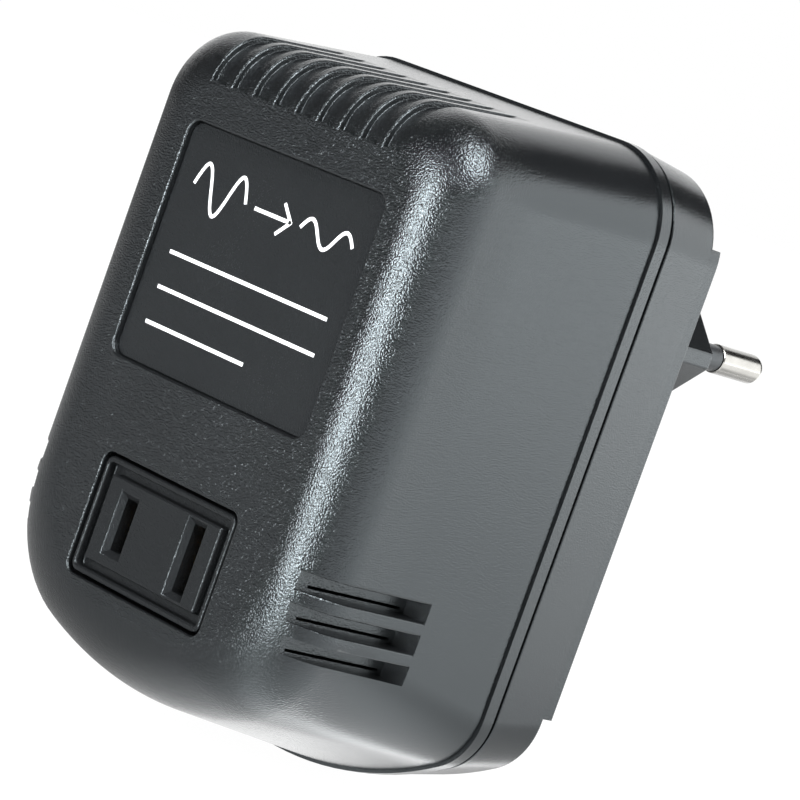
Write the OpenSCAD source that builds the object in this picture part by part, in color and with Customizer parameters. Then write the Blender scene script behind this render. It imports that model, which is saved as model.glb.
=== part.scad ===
// Plug-in travel voltage converter.
// A drafted two-part moulded housing holds a laminated transformer. A two-slot
// flat-blade outlet sits low in the front, a two-pin round-pin plug stands out of
// the back. X runs across the front, +Y points into the wall socket, +Z is up.

/* [Housing] */
// Width over the rim at the parting line
body_w = 64; // [62:0.5:72]
// Height over the rim at the parting line
body_h = 88.5; // [86:0.5:97]
// Depth of the front shell, from the front face to the parting line
shell_d = 35; // [34.5:0.5:40]
// Depth of the rear cover, without the wall pad
cover_d = 9.6; // [9:0.2:13]
// Height of the pad that lies against the wall
pad_t = 1.4; // [0.8:0.1:2.4]
// Height of the wall pad's flat
pad_h = 62.5; // [56:0.5:65]
// Wall thickness of both mouldings
wall = 2.2; // [1.8:0.1:2.6]
// Open line between the shell and the cover
parting_gap = 0.4; // [0.2:0.1:0.8]
// Height of the raised rim band beside the parting line
rim_step = 0.2; // [0.1:0.05:0.4]
// Width of the raised rim band
rim_band = 1.8; // [1:0.1:3]

/* [Form] */
// Draft of the side walls, in degrees
side_draft = 6; // [3:0.5:7]
// Draft of the top, in degrees
top_draft = 5.5; // [3:0.5:7]
// Draft of the bottom, in degrees
bottom_draft = 7.2; // [4:0.1:8]
// Radius of the front edge along the sides and top
edge_r = 8; // [6:0.5:9]
// Radius of the front edge along the bottom
toe_r = 9.4; // [8:0.1:11]
// Radius of the two top corners, seen from the front
top_corner_r = 11; // [9:0.5:12]
// Radius of the two bottom corners at the rim, seen from the front
bottom_corner_r = 9; // [6:0.5:11]
// Radius of the two bottom corners at the front face
toe_corner_r = 16; // [10:0.5:17]
// Radius of the bowed bottom
bow_r = 53; // [50:1:90]
// Draft of the rear cover's top and bottom, in degrees
cover_end_draft = 6.5; // [3:0.5:8]
// Draft of the rear cover's sides, in degrees
cover_side_draft = 1.3; // [0.5:0.1:3]

/* [Vents] */
// Number of grooves over the top front edge
vent_count = 9; // [5:1:9]
// Spacing of the grooves and slots
vent_pitch = 4.03; // [3.8:0.05:4.4]
// Width of a top groove
vent_w = 2.6; // [1.6:0.1:2.9]
// Height of the rim's top above the grooves' front ends
vent_drop = 10.25; // [9:0.05:11.5]
// Depth of a top groove
vent_depth = 1.1; // [0.6:0.1:1.3]
// Length of the grooves, back from the front face
vent_back = 20; // [14:0.5:26]
// Number of slots in each side
slot_count = 3; // [1:1:3]
// Height of a side slot
slot_h = 2.35; // [1.8:0.05:2.8]
// Length of the side slots, back from the front face
slot_back = 19; // [14:0.5:22]
// Distance of the side slots' floors in from the rim, at the front face
slot_in = 6.45; // [5.5:0.05:6.8]
// Draft of the side slots' floors, in degrees
slot_draft = 5; // [2:0.5:6]
// Height of the middle side slot above the base
slot_z = 22.7; // [21.5:0.1:24.5]
// Height of the air slit in the floor of a side slot
slit_h = 0.4; // [0.3:0.05:0.8]

/* [Label recess] */
// Width of the recess
label_w = 37; // [30:0.5:38]
// Height of the recess
label_h = 31; // [24:0.5:33]
// Depth of the recess
label_depth = 1; // [0.5:0.1:1.2]
// Distance of its middle below the rim's top
label_drop = 31; // [29:0.5:33]
// Thickness of the plate that lies in the recess
label_t = 0.2; // [0.1:0.05:0.4]

/* [Outlet] */
// Width of the outlet opening
outlet_w = 26; // [25:0.5:28]
// Height of the outlet opening
outlet_h = 16; // [15.5:0.5:18]
// Height of the outlet's middle above the base
outlet_z = 22.7; // [22:0.1:24]
// Distance between the two blade slots
blade_pitch = 12.7; // [12.5:0.1:12.9]
// Width of a blade slot
blade_slot_w = 2.1; // [1.8:0.1:2.4]
// Length of the live slot
live_slot_l = 6.8; // [6.6:0.1:7.6]
// Length of the neutral slot
neutral_slot_l = 8.8; // [8.4:0.1:9]
// Thickness of the contact springs
spring_t = 0.5; // [0.4:0.05:0.6]

/* [Plug] */
// Distance between the two pins
pin_pitch = 19; // [18.6:0.1:19.2]
// Diameter of the pins
pin_d = 4; // [3.9:0.05:4.1]
// Length of the pins beyond the plug nose
pin_l = 19; // [18.6:0.1:19.5]
// Length of the insulating sleeve beyond the plug nose
sleeve_l = 10; // [9.5:0.1:11]
// Diameter of the insulating sleeve
sleeve_d = 3.6; // [3.4:0.05:3.65]
// Distance of the pins below the rim's top
pin_drop = 23.5; // [21:0.5:29]
// Length of the plug nose beyond the wall pad
nose_l = 22; // [17:0.2:26]
// Width of the plug nose
nose_w = 35.3; // [34:0.1:36]
// Height of the plug nose
nose_h = 13.7; // [13.2:0.1:14.2]
// Height of the flat at each end of the nose
nose_flat = 2; // [1.6:0.1:2.6]

/* [Transformer] */
// Least space from the rim to the core, on each side
core_side = 8; // [8:0.5:12]
// Space from the rim's top down to the core
core_head = 13; // [12.5:0.5:16]
// Least space between the outlet's block and the core
core_gap = 5.3; // [5:0.1:8]
// Free space between the coil and the outer legs
coil_clear = 1; // [0.8:0.1:1.5]
// Free space between the output leads and the front wall
front_clear = 1.3; // [1:0.1:3]
// Free space between the thermal fuse and the back wall
rear_clear = 0.85; // [0.6:0.05:2]
// Share of the winding space that the secondary takes; the primary fills the rest
secondary_share = 0.415; // [0.3:0.005:0.5]
// Thickness of the tape round the windings
tape_t = 0.4; // [0.2:0.05:0.5]
// Thickness of the steel clamp
clamp_t = 0.8; // [0.5:0.1:1]
// Diameter of the insulated leads
lead_d = 1.6; // [1:0.1:1.8]

/* [Screws] */
// Distance of the case screws in from the rim's sides
case_screw_side = 8.5; // [8:0.1:9.5]
// Distance of the upper case screws below the rim's top
case_screw_drop = 8; // [7.5:0.1:8.5]
// Height of the lower case screws above the base
case_screw_low = 12.5; // [12:0.1:13]
// Thread diameter of the case screws
case_screw_d = 3; // [2.5:0.1:3.2]
// Thread diameter of the outlet screws
outlet_screw_d = 2.2; // [1.8:0.1:2.4]

/* [Hidden] */

$fn = 48;
// Free space between pieces that seat against each other
fit = 0.15;
// Cutters reach this far past the face that they open
over = 1;
plastic = [0.17, 0.18, 0.19];
dark = [0.09, 0.095, 0.1];

// Stations along Y, counted from the front face
rear_y = shell_d + cover_d;
pad_y = rear_y + pad_t;
nose_y = pad_y + nose_l;
tip_y = nose_y + pin_l;
// Heights and places counted from the rim
label_z = body_h - label_drop;
pin_z = body_h - pin_drop;
vent_z = body_h - vent_drop;
slot_floor_x = body_w / 2 - slot_in;
case_screw_x = body_w / 2 - case_screw_side;
case_screw_top = body_h - case_screw_drop;
carrier_w = outlet_w - 2;        // the block behind the outlet
carrier_h = outlet_h - 1;
// The part's origin lies under the middle of its bounding box
module placed() translate([0, -tip_y / 2, 0]) children();

// Plane outlines

function arc(cx, cz, r, a0, a1, n) =
    [for (i = [0:n]) let (a = a0 + (a1 - a0) * i / n) [cx + r * cos(a), cz + r * sin(a)]];

// Rounded rectangle about the origin
function round_rect(w, h, r, n = 6) = let (x = w / 2 - r, y = h / 2 - r)
    concat(arc(x, y, r, 0, 90, n), arc(-x, y, r, 90, 180, n),
           arc(-x, -y, r, 180, 270, n), arc(x, -y, r, 270, 360, n));

top_n = 8;    // segments in a top corner
low_n = 6;    // segments in a bottom corner
bow_n = 12;   // segments in the bowed bottom
corner_keep = 0.55;   // share of an inset that a corner radius loses
corner_min = 3;       // least corner radius of an inset outline

// Front view of the housing, drawn in from the rim by side, top and bottom insets.
// Its bottom corners grow from the rim's radius to the front face's, by toe from 0 to 1.
function outline(si, ti, bi, toe = 0) =
    let (w = body_w / 2 - si, top = body_h - ti,
         rt = max(top_corner_r - corner_keep * ti, corner_min),
         rb = bottom_corner_r + (toe_corner_r - bottom_corner_r) * toe,
         lean = asin((w - rb) / (bow_r - rb)),
         cz = bi + bow_r - (bow_r - rb) * cos(lean))
    concat(arc(w - rb, cz, rb, lean - 90, 0, low_n),
           arc(w - rt, top - rt, rt, 0, 90, top_n),
           arc(rt - w, top - rt, rt, 90, 180, top_n),
           arc(rb - w, cz, rb, 180, 270 - lean, low_n),
           [for (i = [1:bow_n - 1]) let (a = lean * (2 * i / bow_n - 1))
               [bow_r * sin(a), bi + bow_r * (1 - cos(a))]]);
// How far each outline point belongs to the bottom: 0 on the sides and top, 1 on the bow
low_share = concat([for (i = [0:low_n]) 1 - i / low_n], [for (i = [0:2 * top_n + 1]) 0],
                   [for (i = [0:low_n]) i / low_n], [for (i = [1:bow_n - 1]) 1]);

// A fillet of radius r between the front plane and a wall with draft d, made
// thinner by t all over. Gives the inset and the depth at angle th.
function wall_inset(d, y, t) = rim_step + (shell_d - y) * tan(d) + t / cos(d);
function fillet_inset(d, r, t, th) =
    wall_inset(d, r * (1 - sin(d)), 0) + r * cos(d) - (r - t) * cos(th);
function fillet_y(r, t, th) = r - (r - t) * sin(th);

// One ring of the loft; s runs from 0 at the walls to 1 at the front plane
function turn(d, s) = d + s * (90 - d);
function front_ring(t, s) =
    let (p = outline(fillet_inset(side_draft, edge_r, t, turn(side_draft, s)),
                     fillet_inset(top_draft, edge_r, t, turn(top_draft, s)),
                     fillet_inset(bottom_draft, toe_r, t, turn(bottom_draft, s)), toe_share(edge_r)),
         y_edge = fillet_y(edge_r, t, turn(side_draft, s)),
         y_toe = fillet_y(toe_r, t, turn(bottom_draft, s)))
    [for (i = [0:len(p) - 1]) [p[i][0], y_edge + (y_toe - y_edge) * low_share[i], p[i][1]]];
function wall_ring(t, y) =
    level(outline(wall_inset(side_draft, y, t), wall_inset(top_draft, y, t),
                  wall_inset(bottom_draft, y, t), toe_share(y)), y);
function toe_share(y) = max(0, min(1, (shell_d - y) / (shell_d - edge_r)));
function level(p, y) = [for (q = p) [q[0], y, q[1]]];

// Solid through a list of rings, from the rear to the front
module loft(rings) {
    n = len(rings[0]);
    last = len(rings) - 1;
    polyhedron(
        points = [for (r = rings) each r],
        faces = concat(
            [[for (i = [0:n - 1]) i]],
            [for (k = [0:last - 1], i = [0:n - 1]) let (j = (i + 1) % n)
                each [[k * n + i, (k + 1) * n + i, (k + 1) * n + j],
                      [k * n + i, (k + 1) * n + j, k * n + j]]],
            [[for (i = [n - 1:-1:0]) last * n + i]]));
}

edge_n = 7;   // rings round the front edge
function edge_rings(t) = [for (i = [0:edge_n]) front_ring(t, i / edge_n)];

// Outer form of the front shell with its raised rim band
module shell_form() loft(concat(
    [level(outline(0, 0, 0), shell_d), level(outline(0, 0, 0), shell_d - rim_band + rim_step / 2),
     wall_ring(0, shell_d - rim_band)], edge_rings(0)));
// The same form, thinner by t all over and run on past the parting line
module inner_form(t) loft(concat([wall_ring(t, shell_d + over)], edge_rings(t)));

// Straight bar of a plane outline (x, z) between two stations along Y
module bar_y(p, y0, y1) translate([0, y1, 0]) rotate([90, 0, 0])
    linear_extrude(y1 - y0) polygon(p);
// Straight bar of a plane outline (x, y) between two heights
module bar_z(p, z0, z1) translate([0, 0, z0]) linear_extrude(z1 - z0) polygon(p);
// Straight bar of a plane outline (y, z) between two places along X
module bar_x(p, x0, x1) translate([x0, 0, 0]) rotate([90, 0, 90])
    linear_extrude(x1 - x0) polygon(p);
module box(x0, x1, y0, y1, z0, z1) translate([x0, y0, z0]) cube([x1 - x0, y1 - y0, z1 - z0]);
module rod_y(r, y0, y1) translate([0, y0, 0]) rotate([-90, 0, 0]) cylinder(r = r, h = y1 - y0);
module pair_x(x) for (s = [-1, 1]) translate([s * x, 0, 0]) children();
module both_sides() { children(); mirror([1, 0, 0]) children(); }
function shifted(p, v) = [for (q = p) q + v];

// Laminations of the usual ratio, as wide as the housing's width and height let them be
core_floor = outlet_z + carrier_h / 2 + core_gap;
lam_w = min(body_w - 2 * core_side, (body_h - core_head - core_floor) * 6 / 5);
leg = lam_w / 3;                 // width of the centre leg
window_w = lam_w / 6;            // width of a window
window_h = lam_w / 2;            // height of a window
lam_h = lam_w * 5 / 6;           // height of the closed core
core_z = body_h - core_head - lam_h;
window_z = core_z + window_w;    // underside of the windows
bobbin_t = 1;
flange_t = 1.2;
coil_z0 = window_z + fit + flange_t;
coil_z1 = window_z + window_h - fit - flange_t;
coil_seat = 0.05;                // space between the layers of the coil
coil_out = window_w - coil_clear;         // from the leg to the outside of the tape
layer3 = coil_out - tape_t;               // from the leg to the tape
layer1 = fit + bobbin_t + coil_seat;      // from the leg to the primary
winding_room = layer3 - layer1 - 2 * coil_seat;
secondary_t = winding_room * secondary_share;
layer2 = layer3 - coil_seat - secondary_t;
primary_t = layer2 - coil_seat - layer1;
bobbin_r = 0.3;                  // corner radius of the bobbin's bore
flange_lip = 0.3;                // how far the bobbin's flanges stand out past the tape
flange_out = coil_out + flange_lip;
touch = 0.1;                     // space between a lead's end and its terminal
fuse_t = 2;                      // thickness of the thermal fuse
// The stack fills the depth that the leads in front and the fuse behind leave
core_front = wall + front_clear + lead_d + touch + flange_out;
core_rear = rear_y - wall - rear_clear - fuse_t - coil_seat - coil_out;
core_mid_y = (core_front + core_rear) / 2;
stack = core_rear - core_front;
coil_rear = core_rear + coil_out;

// Housing details
outlet_r = 1.4;                  // corner radius of the outlet opening
label_r = 1.8;                   // corner radius of the label recess
nose_floor = 3;                  // thickness of the cover's back round the nose
floor_y = pad_y - nose_floor;
tongue_l = 1.8;
tongue_t = 1;
tongue_in = rim_step + wall / 2 + fit;   // from the rim to the tongue's outer face
boss_r = 3.1;
tower_r = 3.6;
head_r = 2.8;
head_h = 2;
pilot = 0.8;                     // share of a screw's diameter that its pilot hole has
case_screw_l = 20;
case_head_y = rear_y - 2;        // screw heads lie this far in from the cover's back
case_screws_at = [[-case_screw_x, case_screw_top], [case_screw_x, case_screw_top],
                  [-case_screw_x, case_screw_low], [case_screw_x, case_screw_low]];
pillar = 5;                      // side of the pillars that hold the core
pillar_x = leg / 2 + window_w + window_w / 2;
pillar_z = [core_z + pillar / 2 + 0.5, core_z + lam_h - pillar / 2 - 0.5];
pad_rise = 4;                    // the pad's middle lies this far above the housing's
pad_z0 = body_h / 2 + pad_rise - pad_h / 2;

// Front shell

// Cutter for one vent groove: it follows the top line and the front edge
module vent_cut() {
    top = function(y, t) body_h - wall_inset(top_draft, y, t);
    bend = [for (i = [0:6]) let (th = 90 - (90 - top_draft) * i / 6)
        [fillet_y(edge_r, vent_depth, th),
         body_h - fillet_inset(top_draft, edge_r, vent_depth, th)]];
    low = [for (q = bend) if (q[1] > vent_z) q];
    bar_x(concat([[-over, body_h + over], [-over, vent_z], [low[0][0], vent_z]], low,
                 [[vent_back, top(vent_back, vent_depth)],
                  [vent_back + vent_depth, body_h + over]]), -vent_w / 2, vent_w / 2);
}

// Place of a side slot's floor at depth y
function slot_floor(y) = slot_floor_x + y * tan(slot_draft);
slit_low = 0.35;                 // height of the air slit above the slot's underside
slit_front = wall + 0.6;         // front end of the air slit
slit_end = 0.3;                  // the slit stops this far short of the slot's end
module side_slots() for (i = [0:slot_count - 1]) {
    z = slot_z + (i - (slot_count - 1) / 2) * vent_pitch - slot_h / 2;
    bar_z([[slot_floor(-over), -over], [body_w, -over], [body_w, slot_back],
           [slot_floor(slot_back), slot_back]], z, z + slot_h);
    box(slot_floor_x - wall - over, slot_floor(slot_back) + over, slit_front, slot_back - slit_end,
        z + slit_low, z + slit_low + slit_h);
}
slot_span = (slot_count - 1) * vent_pitch + slot_h;

post_x = outlet_w / 2 + 4;       // posts for the contact carrier
post_r = 2.4;
ear_y = 8;                       // front face of the carrier's ears

module shell_ribs() {
    // bosses for the case screws
    for (p = case_screws_at) translate([p[0], 0, p[1]]) rod_y(boss_r, 0, shell_d);
    // walls behind the side slots
    both_sides() bar_z([[slot_floor_x - wall, 0], [body_w / 2, 0], [body_w / 2, slot_back + wall],
                        [slot_floor(slot_back + wall) - wall, slot_back + wall]],
                       slot_z - slot_span / 2 - wall, slot_z + slot_span / 2 + wall);
    // pillars in front of the core
    for (z = pillar_z) pair_x(pillar_x)
        box(-pillar / 2, pillar / 2, 0, core_front - fit, z - pillar / 2, z + pillar / 2);
    // posts for the contact carrier
    pair_x(post_x) translate([0, 0, outlet_z]) rod_y(post_r, 0, ear_y - fit);
}

module front_shell() color(plastic) difference() {
    union() {
        difference() { shell_form(); inner_form(wall); }
        intersection() { shell_ribs(); inner_form(wall / 2); }
    }
    // rebate for the cover's tongue
    bar_y(outline(rim_step + wall / 2, rim_step + wall / 2, rim_step + wall / 2),
          shell_d - tongue_l - fit, shell_d + over);
    for (i = [0:vent_count - 1]) translate([(i - (vent_count - 1) / 2) * vent_pitch, 0, 0]) vent_cut();
    both_sides() side_slots();
    translate([0, 0, label_z]) bar_y(round_rect(label_w, label_h, label_r), -over, label_depth);
    translate([0, 0, outlet_z]) bar_y(round_rect(outlet_w, outlet_h, outlet_r), -over, wall + over);
    for (p = case_screws_at) translate([p[0], 0, p[1]])
        rod_y(case_screw_d * pilot / 2, case_head_y - case_screw_l - over, shell_d + over);
    pair_x(post_x) translate([0, 0, outlet_z]) rod_y(outlet_screw_d * pilot / 2, wall, ear_y + over);
}

// Rear cover with its wall pad and hollow plug nose

cover_edge = 0.6;                // rounding of the cover's back edge
edge_break = 0.1;                // broken edge beside the parting line
cover_y = shell_d + parting_gap;
// Outline of the drafted cover at depth y, drawn in evenly by e
function cover_in(d, y) = rim_step + (y - cover_y) * tan(d);
function cover_outline(y, e = 0) = outline(cover_in(cover_side_draft, y) + e,
    cover_in(cover_end_draft, y) + e, cover_in(cover_end_draft, y) + e);
function cover_ring(y, e = 0) = level(cover_outline(y, e), y);
nose_wall = 1.9;
nose_end = 3;                    // thickness of the nose's face
// The nose is a flat hexagon; i draws it in evenly
function nose_outline(i) =
    let (x = nose_w / 2 - i, z = nose_h / 2 - i, f = nose_flat / 2 - i * (sqrt(2) - 1), k = x - (z - f))
    [[x, f], [k, z], [-k, z], [-x, f], [-x, -f], [-k, -z], [k, -z], [x, -f]];

module cover_form() {
    loft([for (i = [3:-1:0]) let (a = i * 30)
              cover_ring(rear_y - cover_edge * (1 - sin(a)), cover_edge * (1 - cos(a))),
          cover_ring(cover_y + edge_break), cover_ring(cover_y, edge_break)]);
    // the pad: the middle band of the cover's own outline, carried straight back
    intersection() {
        bar_y(cover_outline(rear_y), cover_y + wall, pad_y);
        box(-body_w, body_w, 0, pad_y + over, pad_z0, pad_z0 + pad_h);
    }
    translate([0, 0, pin_z]) bar_y(nose_outline(0), floor_y, nose_y);
}

module rear_cover() color(plastic) difference() {
    union() {
        difference() {
            cover_form();
            loft([cover_ring(rear_y - wall, wall), cover_ring(shell_d - over, wall)]);
            box(-nose_w / 2 - wall, nose_w / 2 + wall, shell_d, floor_y,
                pin_z - nose_h / 2 - wall, pin_z + nose_h / 2 + wall);
        }
        // tongue that seats inside the shell's rim
        difference() {
            bar_y(outline(tongue_in, tongue_in, tongue_in), shell_d - tongue_l, shell_d + wall);
            bar_y(outline(tongue_in + tongue_t, tongue_in + tongue_t, tongue_in + tongue_t),
                  shell_d - tongue_l - over, shell_d + wall + over);
        }
        for (p = case_screws_at) translate([p[0], 0, p[1]])
            rod_y(tower_r, shell_d + fit, rear_y - wall / 2);
        for (z = pillar_z) pair_x(pillar_x)
            box(-pillar / 2, pillar / 2, core_rear + fit, rear_y - wall / 2,
                z - pillar / 2, z + pillar / 2);
    }
    // room for the leads and the pin retainer inside the nose
    translate([0, 0, pin_z]) bar_y(nose_outline(nose_wall), floor_y - over, nose_y - nose_end);
    for (p = case_screws_at) translate([p[0], 0, p[1]]) {
        rod_y(head_r + fit, case_head_y - head_h, pad_y + over);
        rod_y(case_screw_d / 2 + fit, shell_d - over, pad_y);
    }
    pair_x(pin_pitch / 2) translate([0, 0, pin_z])
        rod_y(sleeve_d / 2 + fit, nose_y - nose_end - over, nose_y + over);
    // the tongue gives way to the screw bosses
    for (p = case_screws_at) translate([p[0], 0, p[1]])
        rod_y(boss_r + fit, shell_d - tongue_l - over, shell_d + fit);
}

// Bare plate in the label recess
module rating_plate() color(dark) translate([0, 0, label_z])
    bar_y(round_rect(label_w - 2 * fit, label_h - 2 * fit, label_r - fit),
          label_depth - label_t, label_depth);

// Outlet

insert_y = 0.25;                 // front face of the insert
gap_line = 0.4;                  // open line round the insert
flange_lap = 1.2;                // how far the insert's lugs reach behind the shell
lug_h = 9;                       // height of the lugs
insert_t = 1.7;                  // thickness of the insert's lugs
insert_back = wall + insert_t;
rim_side = 0.7;                  // width of the rim on both sides
rim_end = 0.85;                  // width of the rim above and below
moat_w = 1.2;                    // the moat between the rim and the middle plate
moat_d = 1.3;
plate_w = outlet_w - 2 * (gap_line + rim_side + moat_w);
plate_h = outlet_h - 2 * (gap_line + rim_end + moat_w);
plate_r = 0.4;                   // corner radius of the middle plate and of the moat
lead_in = 0.75;                  // flare of the blade slots at the front

// Slot for a blade of height l, flared on all four sides at the front
function slot_ring(l, y, e = 0) = let (x = blade_slot_w / 2 + e, z = l / 2 + e)
    level([[-x, -z], [x, -z], [x, z], [-x, z]], y);
module blade_slot(l) translate([0, 0, outlet_z])
    loft([slot_ring(l, insert_back + over), slot_ring(l, insert_y + lead_in),
          slot_ring(l, insert_y - over, lead_in + over)]);

module outlet_insert() color(dark) difference() {
    translate([0, 0, outlet_z]) difference() {
        union() {
            bar_y(round_rect(outlet_w - 2 * gap_line, outlet_h - 2 * gap_line, outlet_r - gap_line / 2),
                  insert_y, insert_back);
            // lugs on both sides that catch behind the shell
            bar_y(round_rect(outlet_w + 2 * flange_lap, lug_h, outlet_r), wall + 2 * fit, insert_back);
        }
        // moat round the middle plate
        difference() {
            bar_y(round_rect(plate_w + 2 * moat_w, plate_h + 2 * moat_w, plate_r, 3),
                  insert_y - over, insert_y + moat_d);
            bar_y(round_rect(plate_w, plate_h, plate_r, 3), insert_y - 2 * over, insert_y + moat_d + over);
        }
    }
    translate([-blade_pitch / 2, 0, 0]) blade_slot(live_slot_l);
    translate([blade_pitch / 2, 0, 0]) blade_slot(neutral_slot_l);
}

carrier_back = 16.5;
chamber_w = 5;
chamber_back = 15;
tail_t = spring_t + 2 * fit;
spring_h = live_slot_l - 1.4;    // height of the live contact's leaves
tail_h = 3;
tail_end = carrier_back + 3.5;

module contact_carrier() color([0.85, 0.82, 0.72]) difference() {
    union() {
        box(-carrier_w / 2, carrier_w / 2, insert_back + fit, carrier_back,
            outlet_z - carrier_h / 2, outlet_z + carrier_h / 2);
        box(-post_x - post_r, post_x + post_r, ear_y, ear_y + wall, outlet_z - post_r, outlet_z + post_r);
    }
    for (s = [-1, 1]) {
        h = (s < 0 ? live_slot_l : neutral_slot_l) + 2 * fit;
        box(s * blade_pitch / 2 - chamber_w / 2, s * blade_pitch / 2 + chamber_w / 2,
            insert_back, chamber_back, outlet_z - h / 2, outlet_z + h / 2);
        box(s * blade_pitch / 2 - tail_t / 2, s * blade_pitch / 2 + tail_t / 2,
            chamber_back - over, carrier_back + over,
            outlet_z - tail_h / 2 - fit, outlet_z + tail_h / 2 + fit);
    }
    pair_x(post_x) translate([0, 0, outlet_z])
        rod_y(outlet_screw_d / 2 + fit, ear_y - over, ear_y + wall + over);
}

// A blade contact: two sprung leaves that pinch the blade, a bridge and a solder tail
module blade_contact(h) {
    t = spring_t;
    back = chamber_back - fit;
    half = chamber_w / 2 - fit;
    leaf = [[half, back], [half, back - 2.5], [1.2, insert_back + 3.2], [half, insert_back + 0.6]];
    inner = [for (q = leaf) [q[0] - t, min(q[1], back - t)]];
    bar_z(concat(leaf, [for (i = [3:-1:0]) inner[i]],
                 [for (i = [0:3]) [-inner[i][0], inner[i][1]]],
                 [for (i = [3:-1:0]) [-leaf[i][0], leaf[i][1]]]), -h / 2, h / 2);
    box(-t / 2, t / 2, back - t / 2, tail_end, -tail_h / 2, tail_h / 2);
}
module live_contact() color([0.8, 0.68, 0.38])
    translate([-blade_pitch / 2, 0, outlet_z]) blade_contact(spring_h);
module neutral_contact() color([0.8, 0.68, 0.38])
    translate([blade_pitch / 2, 0, outlet_z]) blade_contact(neutral_slot_l - 1.4);

cross_l = 0.65;                  // reach of a screw's cross slot, as a share of its head
cross_w = 0.6;                   // width of a screw's cross slot
// Round-head screw along +Y, its head on the +Y side of y0
module screw(d, l, head, height, y0) {
    difference() {
        union() { rod_y(d / 2, y0 - l, y0 + height / 2); rod_y(head, y0, y0 + height); }
        for (a = [0, 90]) rotate([0, a, 0])
            box(-head * cross_l, head * cross_l, y0 + height / 2, y0 + height + over,
                -cross_w / 2, cross_w / 2);
    }
}
module carrier_screws() color([0.75, 0.76, 0.78]) pair_x(post_x) translate([0, 0, outlet_z])
    screw(outlet_screw_d * pilot - 0.02, ear_y - wall, outlet_screw_d * 0.9, 1.4, ear_y + wall);
module case_screws() color([0.75, 0.76, 0.78]) for (p = case_screws_at) translate([p[0], 0, p[1]])
    screw(case_screw_d * pilot - 0.02, case_screw_l - head_h, head_r, head_h, case_head_y - head_h);

// Plug pins

collar_r = 2.9;
collar_t = 1.5;
neck_d = sleeve_d - 0.9;         // pin under the sleeve
collar_y = nose_y - nose_end - fit - collar_t;
retainer_t = 5;
retainer_y = nose_y - nose_end - fit - retainer_t;
tail_y = retainer_y - 5;
tip_r = 1.2;

module plug_pins() color([0.83, 0.83, 0.8]) pair_x(pin_pitch / 2) translate([0, 0, pin_z]) {
    rod_y(neck_d / 2, tail_y, nose_y + sleeve_l);
    rod_y(collar_r, collar_y, collar_y + collar_t);
    // bare end with a rounded tip
    translate([0, nose_y, 0]) rotate([-90, 0, 0]) rotate_extrude() polygon(concat(
        [[0, sleeve_l], [pin_d / 2, sleeve_l]],
        arc(pin_d / 2 - tip_r, pin_l - tip_r, tip_r, 0, 90, 8), [[0, pin_l]]));
}
module pin_sleeves() color(dark) pair_x(pin_pitch / 2) translate([0, 0, pin_z]) difference() {
    rod_y(sleeve_d / 2, collar_y + collar_t + fit / 3, nose_y + sleeve_l - fit / 3);
    rod_y(neck_d / 2 + fit / 3, collar_y, nose_y + sleeve_l + over);
}
module pin_retainer() color([0.3, 0.31, 0.32]) translate([0, 0, pin_z]) difference() {
    bar_y(nose_outline(nose_wall + fit), retainer_y, nose_y - nose_end - fit / 3);
    pair_x(pin_pitch / 2) {
        rod_y(collar_r + fit, collar_y - fit, nose_y);
        rod_y(neck_d / 2 + fit, retainer_y - over, nose_y);
    }
}

// Transformer

module core_e_stack() color([0.45, 0.46, 0.48]) difference() {
    box(-lam_w / 2, lam_w / 2, core_front, core_rear, core_z, window_z + window_h);
    pair_x(leg / 2 + window_w / 2)
        box(-window_w / 2, window_w / 2, core_front - over, core_rear + over, window_z, core_z + lam_h);
}
module core_i_stack() color([0.45, 0.46, 0.48])
    box(-lam_w / 2, lam_w / 2, core_front, core_rear, window_z + window_h, core_z + lam_h);

// Steel strap over the top and sides, with lips under the core
module core_clamp() color([0.62, 0.63, 0.65]) {
    x = lam_w / 2 + fit / 3;
    top = core_z + lam_h + fit / 3;
    low = core_z - fit / 3;
    lip = window_w;
    strap = stack - 2 * pillar / 2 - 4;
    bar_y([[x - lip, low - clamp_t], [x + clamp_t, low - clamp_t], [x + clamp_t, top + clamp_t],
           [-x - clamp_t, top + clamp_t], [-x - clamp_t, low - clamp_t], [lip - x, low - clamp_t],
           [lip - x, low], [-x, low], [-x, top], [x, top], [x, low], [x - lip, low]],
          core_mid_y - strap / 2, core_mid_y + strap / 2);
}

// A ring round the centre leg, between two distances from the leg
module coil_ring(a, b, z0, z1) translate([0, core_mid_y, 0]) difference() {
    bar_z(round_rect(leg + 2 * b, stack + 2 * b, bobbin_r + b - fit), z0, z1);
    bar_z(round_rect(leg + 2 * a, stack + 2 * a, bobbin_r + a - fit), z0 - over, z1 + over);
}
module bobbin() color([0.88, 0.87, 0.82]) {
    coil_ring(fit, fit + bobbin_t, coil_z0 - flange_t, coil_z1 + flange_t);
    for (z = [coil_z0 - flange_t, coil_z1]) coil_ring(fit, flange_out, z, z + flange_t);
}
module primary_winding() color([0.72, 0.4, 0.2])
    coil_ring(layer1, layer1 + primary_t, coil_z0 + coil_seat, coil_z1 - coil_seat);
module secondary_winding() color([0.66, 0.34, 0.16])
    coil_ring(layer2, layer2 + secondary_t, coil_z0 + coil_seat, coil_z1 - coil_seat);
module winding_tape() color([0.85, 0.75, 0.3])
    coil_ring(layer3, layer3 + tape_t, coil_z0 + coil_seat, coil_z1 - coil_seat);

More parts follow.
